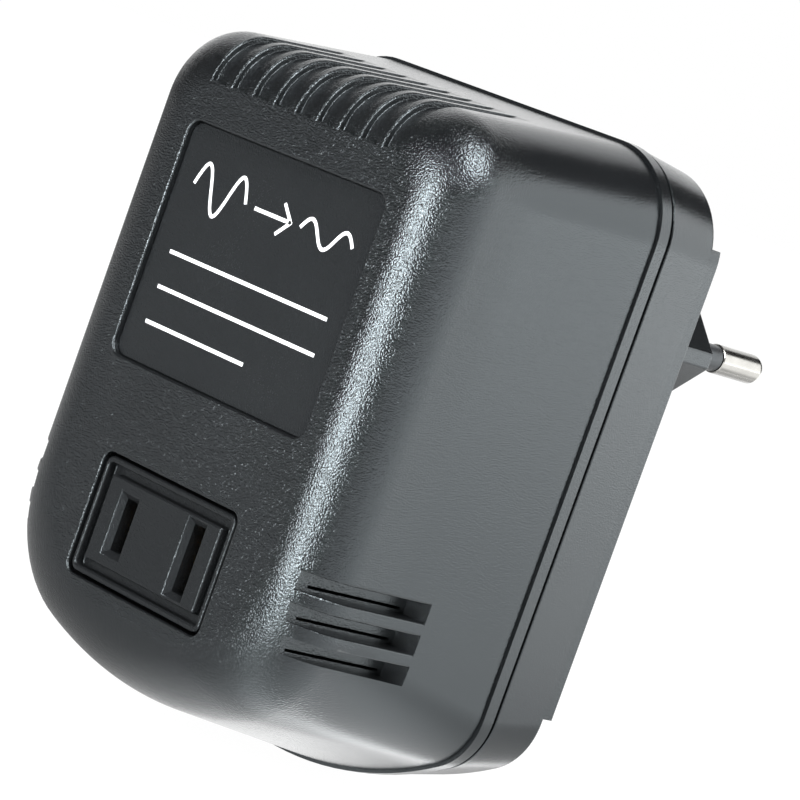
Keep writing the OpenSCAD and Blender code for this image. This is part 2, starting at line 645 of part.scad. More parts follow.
// Thermal fuse on the back of the coil, with a wire stub on each side
fuse_w = 6;
fuse_h = 6;
fuse_z = coil_z0 + fuse_h;
fuse_y = coil_rear + coil_seat + fuse_t / 2;
fuse_r = 0.6;
stub = 2;
stub_d = 0.8;
module thermal_fuse() color([0.9, 0.9, 0.88]) {
    translate([0, 0, fuse_z])
        bar_y(round_rect(fuse_w, fuse_h, fuse_r), fuse_y - fuse_t / 2, fuse_y + fuse_t / 2);
    translate([-fuse_w / 2 - stub, fuse_y, fuse_z]) rotate([0, 90, 0])
        cylinder(d = stub_d, h = fuse_w + 2 * stub);
}

// Solder tags on the bobbin's flanges: place, side that the tag stands on, outward way
tag_t = 0.5;
tag_w = 2.4;
tag_l = 5;
tag_foot = 2.2;
tag_up = coil_z1 + flange_t;
tag_low = coil_z0 - flange_t;
tag_rear = core_rear + flange_out;      // the tags stand flush with the flanges' edges
tag_front = core_front - flange_out;
module tag(x, y, z, up, out) translate([x, y, z])
    mirror([0, 0, up > 0 ? 0 : 1]) mirror([0, out > 0 ? 0 : 1, 0]) {
    box(-tag_w / 2, tag_w / 2, -tag_foot, 0, 0, tag_t);
    box(-tag_w / 2, tag_w / 2, -tag_t, 0, 0, tag_l);
}
neutral_tag_x = -8;
live_tag_x = -6;
module terminal_tags() color([0.85, 0.72, 0.4]) {
    tag(neutral_tag_x, tag_rear, tag_up, 1, 1);
    tag(live_tag_x, tag_rear, tag_low, -1, 1);
    for (s = [-1, 1]) tag(s * blade_pitch / 2, tag_front, tag_low, -1, -1);
}

// Leads: round tubes along a smooth line through a few points

function unit(v) = v / norm(v);
function smooth(p, t) = let (n = len(p), k = min(floor(t), n - 2), u = t - k,
    a = p[max(k - 1, 0)], b = p[k], c = p[k + 1], d = p[min(k + 2, n - 1)])
    0.5 * (2 * b + (c - a) * u + (2 * a - 5 * b + 4 * c - d) * u * u
           + (3 * b - a - 3 * c + d) * u * u * u);
lead_steps = 4;   // rings between two points of a lead
lead_sides = 8;
module lead(p, aside) {
    line = [for (i = [0:(len(p) - 1) * lead_steps]) smooth(p, i / lead_steps)];
    last = len(line) - 1;
    loft([for (i = [0:last]) let (d = unit(line[min(i + 1, last)] - line[max(i - 1, 0)]),
              u = unit(cross(aside, d)), v = cross(d, u))
          [for (j = [0:lead_sides - 1]) let (a = 360 * j / lead_sides)
              line[i] + lead_d / 2 * (cos(a) * u + sin(a) * v)]]);
}
pin_x = pin_pitch / 2;
fuse_end = fuse_w / 2 + stub + touch;
fuse_lead_y = tag_rear + touch + lead_d / 2;
nose_low = pin_z - nose_h / 2 + nose_wall;   // underside of the room inside the nose
carrier_top = outlet_z + carrier_h / 2;
wire_y = floor_y - lead_d / 2 - 2 * fit;    // leads run this far back, inside the cover
module mains_live_lead() color([0.45, 0.28, 0.16]) lead([
    [pin_x, tail_y - touch, pin_z], [pin_x, tail_y - 2.5 * lead_d, pin_z],
    [pin_x, wire_y + 1.25 * lead_d, pin_z - 0.6 * lead_d], [pin_x, wire_y - lead_d / 2, nose_low],
    [pin_x - lead_d / 2, fuse_y, fuse_z + 1.4 * lead_d], [fuse_end + lead_d, fuse_y, fuse_z],
    [fuse_end, fuse_y, fuse_z]], [-1, 0, 1]);
module fuse_lead() color([0.45, 0.28, 0.16]) lead([
    [-fuse_end, fuse_y, fuse_z], [-fuse_end - lead_d, fuse_y, fuse_z],
    [-fuse_end - 2 * lead_d, fuse_lead_y, fuse_z - 2 * lead_d],
    [live_tag_x - lead_d, fuse_lead_y, coil_z0 - lead_d / 2],
    [live_tag_x, fuse_lead_y, tag_low - tag_l + tag_t]], [0, 1, 0]);
module mains_neutral_lead() color([0.2, 0.35, 0.6]) lead([
    [-pin_x, tail_y - touch, pin_z], [-pin_x, tail_y - 2.5 * lead_d, pin_z],
    [-pin_x, wire_y + 1.5 * lead_d, pin_z + lead_d / 2], [-pin_x, wire_y, pin_z + 2 * lead_d],
    [neutral_tag_x, fuse_lead_y, tag_up + tag_l - tag_t]], [1, 0, 0.2]);
module output_lead(s) lead([
    [s * blade_pitch / 2, tag_front - touch - lead_d / 2, tag_low - tag_l + tag_t],
    [s * blade_pitch / 2, tag_front - 0.75 * lead_d, tag_low - tag_l - 3 * lead_d],
    [s * (blade_pitch / 2 + lead_d / 2), carrier_back - lead_d, carrier_top + 1.75 * lead_d],
    [s * (blade_pitch / 2 + lead_d), tail_end - lead_d / 2, carrier_top],
    [s * (blade_pitch / 2 + spring_t / 2 + lead_d / 2 + touch), tail_end - lead_d / 2, outlet_z - tag_t]],
    [1, 0, 0]);
module output_live_lead() color([0.15, 0.15, 0.16]) output_lead(-1);
module output_neutral_lead() color([0.85, 0.85, 0.83]) output_lead(1);

placed() front_shell();
placed() rear_cover();
placed() rating_plate();
placed() outlet_insert();
placed() contact_carrier();
placed() live_contact();
placed() neutral_contact();
placed() carrier_screws();
placed() plug_pins();
placed() pin_sleeves();
placed() pin_retainer();
placed() core_e_stack();
placed() core_i_stack();
placed() core_clamp();
placed() bobbin();
placed() primary_winding();
placed() secondary_winding();
placed() winding_tape();
placed() thermal_fuse();
placed() terminal_tags();
placed() mains_live_lead();
placed() mains_neutral_lead();
placed() fuse_lead();
placed() output_live_lead();
placed() output_neutral_lead();
placed() case_screws();
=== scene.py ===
import math

import bmesh
import bpy
from mathutils import Matrix, Vector


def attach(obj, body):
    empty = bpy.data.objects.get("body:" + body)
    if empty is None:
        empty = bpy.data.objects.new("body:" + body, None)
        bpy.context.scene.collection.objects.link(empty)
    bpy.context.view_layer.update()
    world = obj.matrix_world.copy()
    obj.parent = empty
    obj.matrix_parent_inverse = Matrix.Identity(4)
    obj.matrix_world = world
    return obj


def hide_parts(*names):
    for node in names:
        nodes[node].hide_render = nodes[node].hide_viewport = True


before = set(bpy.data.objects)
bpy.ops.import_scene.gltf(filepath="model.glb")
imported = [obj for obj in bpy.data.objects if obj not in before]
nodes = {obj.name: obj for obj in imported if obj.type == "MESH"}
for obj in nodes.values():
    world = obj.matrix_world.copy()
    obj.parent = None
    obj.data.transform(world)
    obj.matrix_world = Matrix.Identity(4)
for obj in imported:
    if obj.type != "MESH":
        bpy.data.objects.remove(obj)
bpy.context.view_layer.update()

# ---- Front shell
# One deep injection moulding in black ABS: drafted walls, rounded front edges, a bowed
# toe, nine vent grooves over the top front edge, three slots in each side, a label
# recess and the outlet opening. Bosses, posts and pillars stand inside it.

# Every piece is drawn in millimetres with y counted from the front face, and set into
# the frame at the end of its section.
MM = 0.001
FRONT_Y = -43.5

BODY_W, BODY_H, SHELL_D = 64.0, 88.5, 35.0
WALL, FIT, OVER = 2.2, 0.15, 1.0
RIM_STEP, RIM_BAND = 0.2, 1.8
SIDE_DRAFT, TOP_DRAFT, BOTTOM_DRAFT = 6.0, 5.5, 7.2
EDGE_R, TOE_R, TOP_CORNER_R, BOTTOM_CORNER_R, TOE_CORNER_R, BOW_R = 8.0, 9.4, 11.0, 9.0, 16.0, 53.0
TOP_N, LOW_N, BOW_N, EDGE_N, WALL_N = 16, 14, 26, 22, 7


def shader_group(name, inputs, outputs):
    group = bpy.data.node_groups.new(name, "ShaderNodeTree")
    for label, kind, value in inputs:
        socket = group.interface.new_socket(label, in_out="INPUT", socket_type=kind)
        if value is not None:
            socket.default_value = value
    for label, kind in outputs:
        group.interface.new_socket(label, in_out="OUTPUT", socket_type=kind)
    return group, group.nodes.new("NodeGroupInput").outputs, group.nodes.new("NodeGroupOutput").inputs


def math_node(tree, operation, a, b=None, c=None, clamp=False):
    node = tree.nodes.new("ShaderNodeMath")
    node.operation, node.use_clamp = operation, clamp
    for socket, value in zip(node.inputs, (a, b, c)):
        if value is None:
            continue
        if isinstance(value, (int, float)):
            socket.default_value = value
        else:
            tree.links.new(value, socket)
    return node.outputs[0]


def noise(tree, vector, scale, detail=2.0, roughness=0.5):
    node = tree.nodes.new("ShaderNodeTexNoise")
    tree.links.new(vector, node.inputs["Vector"])
    for label, value in (("Scale", scale), ("Detail", detail), ("Roughness", roughness)):
        if isinstance(value, (int, float)):
            node.inputs[label].default_value = value
        else:
            tree.links.new(value, node.inputs[label])
    return node.outputs["Fac"]


# Spark-eroded mould grain: fine pebbles with finer dust on them, and slow shifts of tone.
# It is deep on the front and its edges and shallow on the drafted walls, which slide
# along the mould when the piece is pushed out.
grain, grain_in, grain_out = shader_group(
    "mould grain",
    (("Vector", "NodeSocketVector", None), ("Pebbles per metre", "NodeSocketFloat", 4700.0),
     ("Gloss", "NodeSocketFloat", 0.21), ("Gloss spread", "NodeSocketFloat", 0.10),
     ("Dark", "NodeSocketColor", (0.0028, 0.0031, 0.0034, 1)),
     ("Light", "NodeSocketColor", (0.0056, 0.0061, 0.0066, 1))),
    (("Colour", "NodeSocketColor"), ("Roughness", "NodeSocketFloat"), ("Height", "NodeSocketFloat")))
pebbles = noise(grain, grain_in["Vector"], grain_in["Pebbles per metre"], 0.5, 0.5)
dust = noise(grain, grain_in["Vector"], math_node(grain, "MULTIPLY", grain_in["Pebbles per metre"], 2.3), 1.0)
drift = noise(grain, grain_in["Vector"], 70.0, 3.0)
depth_y = grain.nodes.new("ShaderNodeSeparateXYZ")
grain.links.new(grain_in["Vector"], depth_y.inputs[0])
shallow = grain.nodes.new("ShaderNodeMapRange")
grain.links.new(depth_y.outputs["Y"], shallow.inputs["Value"])
for label, value in (("From Min", (FRONT_Y + 6) * MM), ("From Max", (FRONT_Y + 14) * MM),
                     ("To Min", 1.0), ("To Max", 0.3)):
    shallow.inputs[label].default_value = value
grain.links.new(math_node(grain, "MULTIPLY", math_node(grain, "MULTIPLY_ADD", dust, 0.25, pebbles),
                          shallow.outputs["Result"]), grain_out["Height"])
spread = math_node(grain, "MULTIPLY_ADD", math_node(grain, "ADD", pebbles, drift), 1.0, -1.0)
grain.links.new(math_node(grain, "MULTIPLY_ADD", spread, grain_in["Gloss spread"], grain_in["Gloss"], True),
                grain_out["Roughness"])
tone = grain.nodes.new("ShaderNodeMix")
tone.data_type = "RGBA"
grain.links.new(math_node(grain, "MULTIPLY_ADD", drift, 0.6, math_node(grain, "MULTIPLY", pebbles, 0.4)),
                tone.inputs["Factor"])
grain.links.new(grain_in["Dark"], tone.inputs[6])
grain.links.new(grain_in["Light"], tone.inputs[7])
grain.links.new(tone.outputs[2], grain_out["Colour"])


def skinned(name, group, depth, values):
    """Material with a surface group; depth is the height of its relief in metres."""
    finish = bpy.data.materials.new(name)
    finish.use_nodes = True
    tree = finish.node_tree
    shader = tree.nodes["Principled BSDF"]
    skin = tree.nodes.new("ShaderNodeGroup")
    skin.node_tree = group
    for label, value in values.items():
        skin.inputs[label].default_value = value
    bump = tree.nodes.new("ShaderNodeBump")
    bump.inputs["Distance"].default_value = depth
    tree.links.new(tree.nodes.new("ShaderNodeTexCoord").outputs["Object"], skin.inputs["Vector"])
    tree.links.new(skin.outputs["Height"], bump.inputs["Height"])
    tree.links.new(bump.outputs["Normal"], shader.inputs["Normal"])
    tree.links.new(skin.outputs["Colour"], shader.inputs["Base Color"])
    tree.links.new(skin.outputs["Roughness"], shader.inputs["Roughness"])
    return finish, shader


def moulded(name, depth, ior_level=0.5, **values):
    """Plastic with the mould grain."""
    finish, shader = skinned(name, grain, depth, {label.replace("_", " "): v for label, v in values.items()})
    shader.inputs["Specular IOR Level"].default_value = ior_level
    shader.inputs["Specular Tint"].default_value = (0.84, 0.95, 1.0, 1)
    return finish


housing_black = moulded("housing black ABS", 0.00008)
MERGE = 1e-5


def drawn(name, points, faces):
    """New piece from points and faces, with double points merged and faces turned outward."""
    mesh = bpy.data.meshes.new(name)
    mesh.from_pydata(points, [], faces)
    work = bmesh.new()
    work.from_mesh(mesh)
    bmesh.ops.remove_doubles(work, verts=work.verts, dist=MERGE)
    bmesh.ops.recalc_face_normals(work, faces=work.faces)
    work.to_mesh(mesh)
    work.free()
    piece = bpy.data.objects.new(name, mesh)
    bpy.context.scene.collection.objects.link(piece)
    return piece


def loft(name, rings):
    """Closed skin over a row of rings that all have the same number of points."""
    n, last = len(rings[0]), len(rings) - 1
    sides = [(k * n + i, (k + 1) * n + i, (k + 1) * n + (i + 1) % n, k * n + (i + 1) % n)
             for k in range(last) for i in range(n)]
    caps = [tuple(range(n)), tuple(last * n + i for i in reversed(range(n)))]
    return drawn(name, [p for ring in rings for p in ring], sides + caps)


def bar(name, axis, outline, a, b):
    """Straight bar of a plane outline along an axis, between two stations."""
    lift = {"x": lambda p, s: (s, p[0], p[1]), "y": lambda p, s: (p[0], s, p[1]),
            "z": lambda p, s: (p[0], p[1], s)}[axis]
    return loft(name, [[lift(p, s) for p in outline] for s in (a, b)])


def box(name, x0, x1, y0, y1, z0, z1):
    return bar(name, "y", [(x0, z0), (x1, z0), (x1, z1), (x0, z1)], y0, y1)


def turned(name, profile, x=0.0, z=0.0, n=48):
    """Closed profile (radius, y) turned about an axis along y."""
    rings = [[(x + r * math.cos(2 * math.pi * k / n), y, z + r * math.sin(2 * math.pi * k / n))
              for k in range(n)] for r, y in profile]
    count = len(profile)
    faces = [(i * n + k, i * n + (k + 1) % n,
              (i + 1) % count * n + (k + 1) % n, (i + 1) % count * n + k)
             for i in range(count) for k in range(n)
             if profile[i][0] > 0 or profile[(i + 1) % count][0] > 0]
    return drawn(name, [p for ring in rings for p in ring], faces)


def rod(name, r, y0, y1, x=0.0, z=0.0, n=48):
    return turned(name, [(0, y0), (r, y0), (r, y1), (0, y1)], x, z, n)


def settle(piece):
    """Turn what the modifiers make into the piece's own mesh."""
    graph = bpy.context.evaluated_depsgraph_get()
    done = bpy.data.meshes.new_from_object(piece.evaluated_get(graph), depsgraph=graph)
    piece.modifiers.clear()
    piece.data = done


def carve(body, tool, operation="DIFFERENCE"):
    cut = body.modifiers.new("cut", "BOOLEAN")
    cut.operation, cut.solver, cut.object = operation, "MANIFOLD", tool
    settle(body)
    bpy.data.objects.remove(tool)


BEVEL_FROM, CREASE = math.radians(28), math.radians(38)


def soften(piece, width, segments=3, front=-100.0):
    """Round the sharp edges that lie behind a depth."""
    work = bmesh.new()
    work.from_mesh(piece.data)
    share = work.edges.layers.float.new("bevel_weight_edge")
    for line in work.edges:
        if all(v.co.y > front for v in line.verts) and line.calc_face_angle(0.0) > BEVEL_FROM:
            line[share] = 1.0
    work.to_mesh(piece.data)
    work.free()
    edge = piece.modifiers.new("edge", "BEVEL")
    edge.width, edge.segments, edge.limit_method = width, segments, "WEIGHT"
    edge.use_clamp_overlap, edge.loop_slide = False, False
    settle(piece)
    piece.data.attributes.remove(piece.data.attributes["bevel_weight_edge"])


def set_in_frame(piece, finish):
    """Bring a finished piece from drawing millimetres to the frame's metres."""
    piece.data.transform(Matrix.Translation((0, FRONT_Y * MM, 0)) @ Matrix.Scale(MM, 4))
    piece.data.materials.clear()
    piece.data.materials.append(finish)
    piece.data.shade_smooth()
    piece.data.set_sharp_from_angle(angle=CREASE)
    lean = piece.modifiers.new("normals", "WEIGHTED_NORMAL")
    lean.keep_sharp = True
    settle(piece)


# Geometry Nodes: one unit repeated across and up, centred, for vents, slots, bosses and screws
pattern = bpy.data.node_groups.new("moulding pattern", "GeometryNodeTree")
for label, kind in (("Unit", "NodeSocketGeometry"), ("Across", "NodeSocketInt"), ("Up", "NodeSocketInt"),
                    ("Pitch across", "NodeSocketFloat"), ("Pitch up", "NodeSocketFloat"),
                    ("Finish", "NodeSocketMaterial")):
    pattern.interface.new_socket(label, in_out="INPUT", socket_type=kind)
pattern.interface.new_socket("Copies", in_out="OUTPUT", socket_type="NodeSocketGeometry")
pattern_in = pattern.nodes.new("NodeGroupInput").outputs
copies = pattern_in["Unit"]
for count, pitch, axis in (("Up", "Pitch up", "Z"), ("Across", "Pitch across", "X")):
    step = pattern.nodes.new("ShaderNodeCombineXYZ")
    first = pattern.nodes.new("ShaderNodeCombineXYZ")
    pattern.links.new(pattern_in[pitch], step.inputs[axis])
    back = math_node(pattern, "MULTIPLY", math_node(pattern, "SUBTRACT", 1.0, pattern_in[count]), 0.5)
    pattern.links.new(math_node(pattern, "MULTIPLY", back, pattern_in[pitch]), first.inputs[axis])
    line = pattern.nodes.new("GeometryNodeMeshLine")
    line.mode = "OFFSET"
    pattern.links.new(pattern_in[count], line.inputs["Count"])
    pattern.links.new(first.outputs[0], line.inputs["Start Location"])
    pattern.links.new(step.outputs[0], line.inputs["Offset"])
    spots = pattern.nodes.new("GeometryNodeInstanceOnPoints")
    pattern.links.new(line.outputs["Mesh"], spots.inputs["Points"])
    pattern.links.new(copies, spots.inputs["Instance"])
    real = pattern.nodes.new("GeometryNodeRealizeInstances")
    pattern.links.new(spots.outputs["Instances"], real.inputs["Geometry"])
    copies = real.outputs["Geometry"]
paint = pattern.nodes.new("GeometryNodeSetMaterial")
pattern.links.new(copies, paint.inputs["Geometry"])
pattern.links.new(pattern_in["Finish"], paint.inputs["Material"])
pattern.links.new(paint.outputs["Geometry"], pattern.nodes.new("NodeGroupOutput").inputs["Copies"])


def grown(piece, group, values):
    """Run a Geometry Nodes tree on a piece, with its named inputs set."""
    made = piece.modifiers.new(group.name, "NODES")
    made.node_group = group
    for socket in group.interface.items_tree:
        if socket.in_out == "INPUT" and socket.name in values:
            made[socket.identifier] = values[socket.name]
    settle(piece)
    return piece


def repeated(unit, finish, across=1, pitch_across=0.0, up=1, pitch_up=0.0):
    return grown(unit, pattern, {"Across": across, "Up": up, "Pitch across": pitch_across, "Pitch up": pitch_up,
                                 "Finish": finish})


def arc(cx, cz, r, a0, a1, n):
    turns = [math.radians(a0 + (a1 - a0) * i / n) for i in range(n + 1)]
    return [(cx + r * math.cos(a), cz + r * math.sin(a)) for a in turns]


def round_rect(w, h, r, z=0.0, n=8):
    x, y = w / 2 - r, h / 2 - r
    return (arc(x, z + y, r, 0, 90, n) + arc(-x, z + y, r, 90, 180, n)
            + arc(-x, z - y, r, 180, 270, n) + arc(x, z - y, r, 270, 360, n))


def housing_outline(side, top, bottom, toe=0.0):
    """Front view of the housing, drawn in from the rim; toe widens the bottom corners."""
    w, high = BODY_W / 2 - side, BODY_H - top
    rt = max(TOP_CORNER_R - 0.55 * top, 3.0)
    rb = BOTTOM_CORNER_R + (TOE_CORNER_R - BOTTOM_CORNER_R) * toe
    lean = math.degrees(math.asin((w - rb) / (BOW_R - rb)))
    cz = bottom + BOW_R - (BOW_R - rb) * math.cos(math.radians(lean))
    bow = [math.radians(lean * (2 * i / BOW_N - 1)) for i in range(1, BOW_N)]
    return (arc(w - rb, cz, rb, lean - 90, 0, LOW_N) + arc(w - rt, high - rt, rt, 0, 90, TOP_N)
            + arc(rt - w, high - rt, rt, 90, 180, TOP_N) + arc(rb - w, cz, rb, 180, 270 - lean, LOW_N)
            + [(BOW_R * math.sin(a), bottom + BOW_R * (1 - math.cos(a))) for a in bow])


low_share = ([1 - i / LOW_N for i in range(LOW_N + 1)] + [0.0] * (2 * TOP_N + 2)
             + [i / LOW_N for i in range(LOW_N + 1)] + [1.0] * (BOW_N - 1))


def wall_inset(draft, y, t=0.0):
    d = math.radians(draft)
    return RIM_STEP + (SHELL_D - y) * math.tan(d) + t / math.cos(d)


def fillet_inset(draft, r, t, turn):
    d = math.radians(draft)
    return wall_inset(draft, r * (1 - math.sin(d))) + r * math.cos(d) - (r - t) * math.cos(math.radians(turn))


def fillet_y(r, t, turn):
    return r - (r - t) * math.sin(math.radians(turn))


def level(outline, y):
    return [(x, y, z) for x, z in outline]


def toe_share(y):
    return max(0.0, min(1.0, (SHELL_D - y) / (SHELL_D - EDGE_R)))


def wall_ring(t, y):
    return level(housing_outline(wall_inset(SIDE_DRAFT, y, t), wall_inset(TOP_DRAFT, y, t),
                                 wall_inset(BOTTOM_DRAFT, y, t), toe_share(y)), y)


def front_ring(t, s):
    side, top, low = (d + s * (90 - d) for d in (SIDE_DRAFT, TOP_DRAFT, BOTTOM_DRAFT))
    outline = housing_outline(fillet_inset(SIDE_DRAFT, EDGE_R, t, side), fillet_inset(TOP_DRAFT, EDGE_R, t, top),
                              fillet_inset(BOTTOM_DRAFT, TOE_R, t, low), 1.0)
    edge, toe = fillet_y(EDGE_R, t, side), fillet_y(TOE_R, t, low)
    return [(x, edge + (toe - edge) * share, z) for (x, z), share in zip(outline, low_share)]


def edge_rings(t, n):
    return [front_ring(t, i / n) for i in range(n + 1)]


# The rim stands out as a narrow band, with a square step and a shallow hollow in front
WALL_FRONT, RIM_HOLLOW, RIM_RUN = 11.0, 0.06, 0.3
rim = housing_outline(0, 0, 0)
band_y = SHELL_D - RIM_BAND
wall_steps = [band_y - (band_y - WALL_FRONT) * i / WALL_N for i in range(1, WALL_N + 1)]
front_shell = loft("moulded_front_shell",
                   [level(rim, SHELL_D), level(rim, band_y), wall_ring(RIM_HOLLOW, band_y),
                    wall_ring(0, band_y - RIM_RUN)]
                   + [wall_ring(0, y) for y in wall_steps] + edge_rings(0, EDGE_N))

# Vent grooves: each ring of the cutter follows the top line and the front edge at its own
# depth, so that the groove has a rounded lip, a rounded foot and a run-out at the back
VENTS, PITCH, VENT_W, VENT_Z, VENT_DEEP = 9, 4.03, 2.6, BODY_H - 10.25, 0.8
VENT_BACK, VENT_RISE, VENT_CLEAR, VENT_LIP, VENT_FOOT = 20.0, 5.0, 0.1, 0.25, 0.12
LIP_CLEAR, LIP_SUNK = 0.04, 0.006
top_line = BODY_H - fillet_inset(TOP_DRAFT, EDGE_R, EDGE_R, 0)


def lip(r, n=5):
    """Stations (outward, depth) over a rounded mouth, from just outside the skin."""
    turn = [math.radians(90 * i / n) for i in range(n + 1)]
    return [(r + LIP_CLEAR, -LIP_CLEAR)] + [(r * (1 - math.sin(a)), LIP_SUNK + r * (1 - math.cos(a)))
                                            for a in turn]


def groove_ring(x, out, t):
    """Upright slice of a vent cutter at x, from its lower end over the edge to the run-out."""
    low = math.degrees(math.acos((VENT_Z - out - top_line) / (EDGE_R - t)))
    turns = [low + (TOP_DRAFT - low) * i / EDGE_N for i in range(EDGE_N + 1)]
    line = [(fillet_y(EDGE_R, t, a), BODY_H - fillet_inset(TOP_DRAFT, EDGE_R, t, a)) for a in turns]
    rise, end = VENT_BACK - VENT_RISE, VENT_BACK + VENT_DEEP
    line += [(rise, BODY_H - wall_inset(TOP_DRAFT, rise, t)),
             (end, BODY_H - wall_inset(TOP_DRAFT, end, -VENT_CLEAR)),
             (end, BODY_H + OVER), (-OVER, BODY_H + OVER), (-OVER, VENT_Z - out)]
    return [(x, y, z) for y, z in line]


foot = [math.radians(22.5 * i) for i in range(5)]
stations = lip(VENT_LIP) + [(-VENT_FOOT * (1 - math.cos(a)), VENT_DEEP - VENT_FOOT * (1 - math.sin(a)))
                            for a in foot]
vent = loft("vent", [groove_ring(-VENT_W / 2 - out, out, t) for out, t in stations]
            + [groove_ring(VENT_W / 2 + out, out, t) for out, t in reversed(stations)])
carve(front_shell, repeated(vent, housing_black, VENTS, PITCH))

# Side slots, with rounded long edges, a drafted floor and an end wall that leans back
SLOTS, SLOT_H, SLOT_Z, SLOT_BACK, SLOT_FLOOR = 3, 2.35, 22.7, 19.0, 24.75
SLOT_LEAN, SLOT_LIP, SLOT_CLEAR, SLOT_N, HALVINGS = 0.4, 0.3, 0.02, 10, 40
SLOT_DRAFT = math.tan(math.radians(5))
reach = BODY_W - SLOT_FLOOR
slot_mid = SLOT_FLOOR + reach / 2


def slot_floor(y):
    return SLOT_FLOOR + y * SLOT_DRAFT


def side_skin(t, turn):
    return BODY_W / 2 - fillet_inset(SIDE_DRAFT, EDGE_R, t, turn), fillet_y(EDGE_R, t, turn)


def slot_ring(z, out=0.0, t=None):
    """One level of the slot cutter: along the skin at a depth, or along the floor."""
    near, far = SIDE_DRAFT, 89.0
    for _ in range(HALVINGS):
        turn = (near + far) / 2
        x, y = side_skin(t or 0.0, turn)
        near, far = (turn, far) if x > slot_floor(y) - out else (near, turn)
    line = [side_skin(t or 0.0, near + (SIDE_DRAFT - near) * i / SLOT_N) for i in range(SLOT_N + 1)]
    line += [(BODY_W / 2 - wall_inset(SIDE_DRAFT, SLOT_BACK, t or SLOT_LIP), SLOT_BACK)]
    line = [(line[0][0], -OVER)] + line
    outer = SLOT_BACK
    if t is None:
        skin, floor = line[-1][0], slot_floor(SLOT_BACK)
        outer += SLOT_LEAN * (2 * slot_mid - floor - skin) / (skin - floor) + SLOT_CLEAR
        line = [(slot_floor(y), y) for _, y in line[:-1]] + [(floor, SLOT_BACK - SLOT_LEAN + SLOT_CLEAR)]
    half = [(x - slot_mid, y) for x, y in line]
    far_side = [(-half[-1][0], outer)] + [(-x, y) for x, y in reversed(half[:-1])]
    return [(x, y, SLOT_Z + z) for x, y in half + far_side]


mouth = [(SLOT_H / 2 + out, out, t) for out, t in lip(SLOT_LIP)]
slot = loft("slot", [slot_ring(-z, out, t) for z, out, t in mouth]
            + [slot_ring(-SLOT_H / 2), slot_ring(SLOT_H / 2)]
            + [slot_ring(z, out, t) for z, out, t in reversed(mouth)])
carve(front_shell, repeated(slot, housing_black, 2, 2 * slot_mid, SLOTS, PITCH))


def wedge(name, half, back, z0, z1):
    """Bar that narrows with depth by the slots' draft, the same on both sides."""
    return bar(name, "z", [(-half - OVER * SLOT_DRAFT, -OVER), (half + OVER * SLOT_DRAFT, -OVER),
                           (half - back * SLOT_DRAFT, back), (back * SLOT_DRAFT - half, back)], z0, z1)


# Label recess and outlet opening
LABEL_W, LABEL_H, LABEL_Z, LABEL_DEEP, LABEL_R = 37.0, 31.0, BODY_H - 31.0, 1.0, 1.8
LABEL_LIP, LABEL_FOOT, OUTLET_LIP = 0.3, 0.15, 0.25
OUTLET_W, OUTLET_H, OUTLET_Z, OUTLET_R = 26.0, 16.0, 22.7, 1.4


def flared(name, w, h, r, z, deep, mouth, foot=0.0):
    """Cutter for a recess whose edge is rounded at the mouth and at the foot."""
    turn = [math.radians(90 * i / 5) for i in range(6)]
    profile = [(mouth, -OVER)] + [(mouth * (1 - math.sin(a)), mouth * (1 - math.cos(a))) for a in turn]
    if foot:
        profile += [(-foot * (1 - math.cos(a)), deep - foot * (1 - math.sin(a))) for a in turn]
    else:
        profile += [(0.0, deep)]
    return loft(name, [level(round_rect(w + 2 * e, h + 2 * e, r + e, z), y) for e, y in reversed(profile)])


carve(front_shell, flared("recess", LABEL_W, LABEL_H, LABEL_R, LABEL_Z, LABEL_DEEP, LABEL_LIP, LABEL_FOOT))
carve(front_shell, flared("opening", OUTLET_W, OUTLET_H, OUTLET_R, OUTLET_Z, WALL + OVER, OUTLET_LIP))

# The hollow, less the bosses, slot walls, pillars and posts that stay standing in it
BOSS_R, POST_R, POST_X, EAR_Y, PILLAR = 3.1, 2.4, 17.0, 8.0, 5.0
SCREW_X, SCREW_TOP, SCREW_LOW = 23.5, 80.5, 12.5
SCREW_MID, SCREW_RISE = (SCREW_TOP + SCREW_LOW) / 2, SCREW_TOP - SCREW_LOW
CORE_FRONT, CORE_REAR, PILLAR_X, PILLAR_LOW, PILLAR_TOP = 12.5, 32.5, 20.0, 38.5, 72.5
slot_half = PITCH + SLOT_H / 2 + WALL
hollow = loft("hollow", [wall_ring(WALL, SHELL_D + OVER)] + [wall_ring(WALL, y) for y in wall_steps[:-1]]
              + edge_rings(WALL, 10))
carve(hollow, repeated(rod("boss", BOSS_R, 0, SHELL_D, 0, SCREW_MID), housing_black, 2, 2 * SCREW_X, 2, SCREW_RISE))
block = reach + 2 * WALL
carve(hollow, repeated(wedge("slot wall", block / 2, SLOT_BACK + WALL, SLOT_Z - slot_half, SLOT_Z + slot_half),
                       housing_black, 2, 2 * (SLOT_FLOOR - WALL) + block))
carve(hollow, repeated(box("pillar", -PILLAR / 2, PILLAR / 2, -OVER, CORE_FRONT - FIT,
                           (PILLAR_LOW + PILLAR_TOP - PILLAR) / 2, (PILLAR_LOW + PILLAR_TOP + PILLAR) / 2),
                       housing_black, 2, 2 * PILLAR_X, 2, PILLAR_TOP - PILLAR_LOW))
carve(hollow, repeated(rod("post", POST_R, -OVER, EAR_Y - FIT, 0, OUTLET_Z), housing_black, 2, 2 * POST_X))
carve(front_shell, hollow)

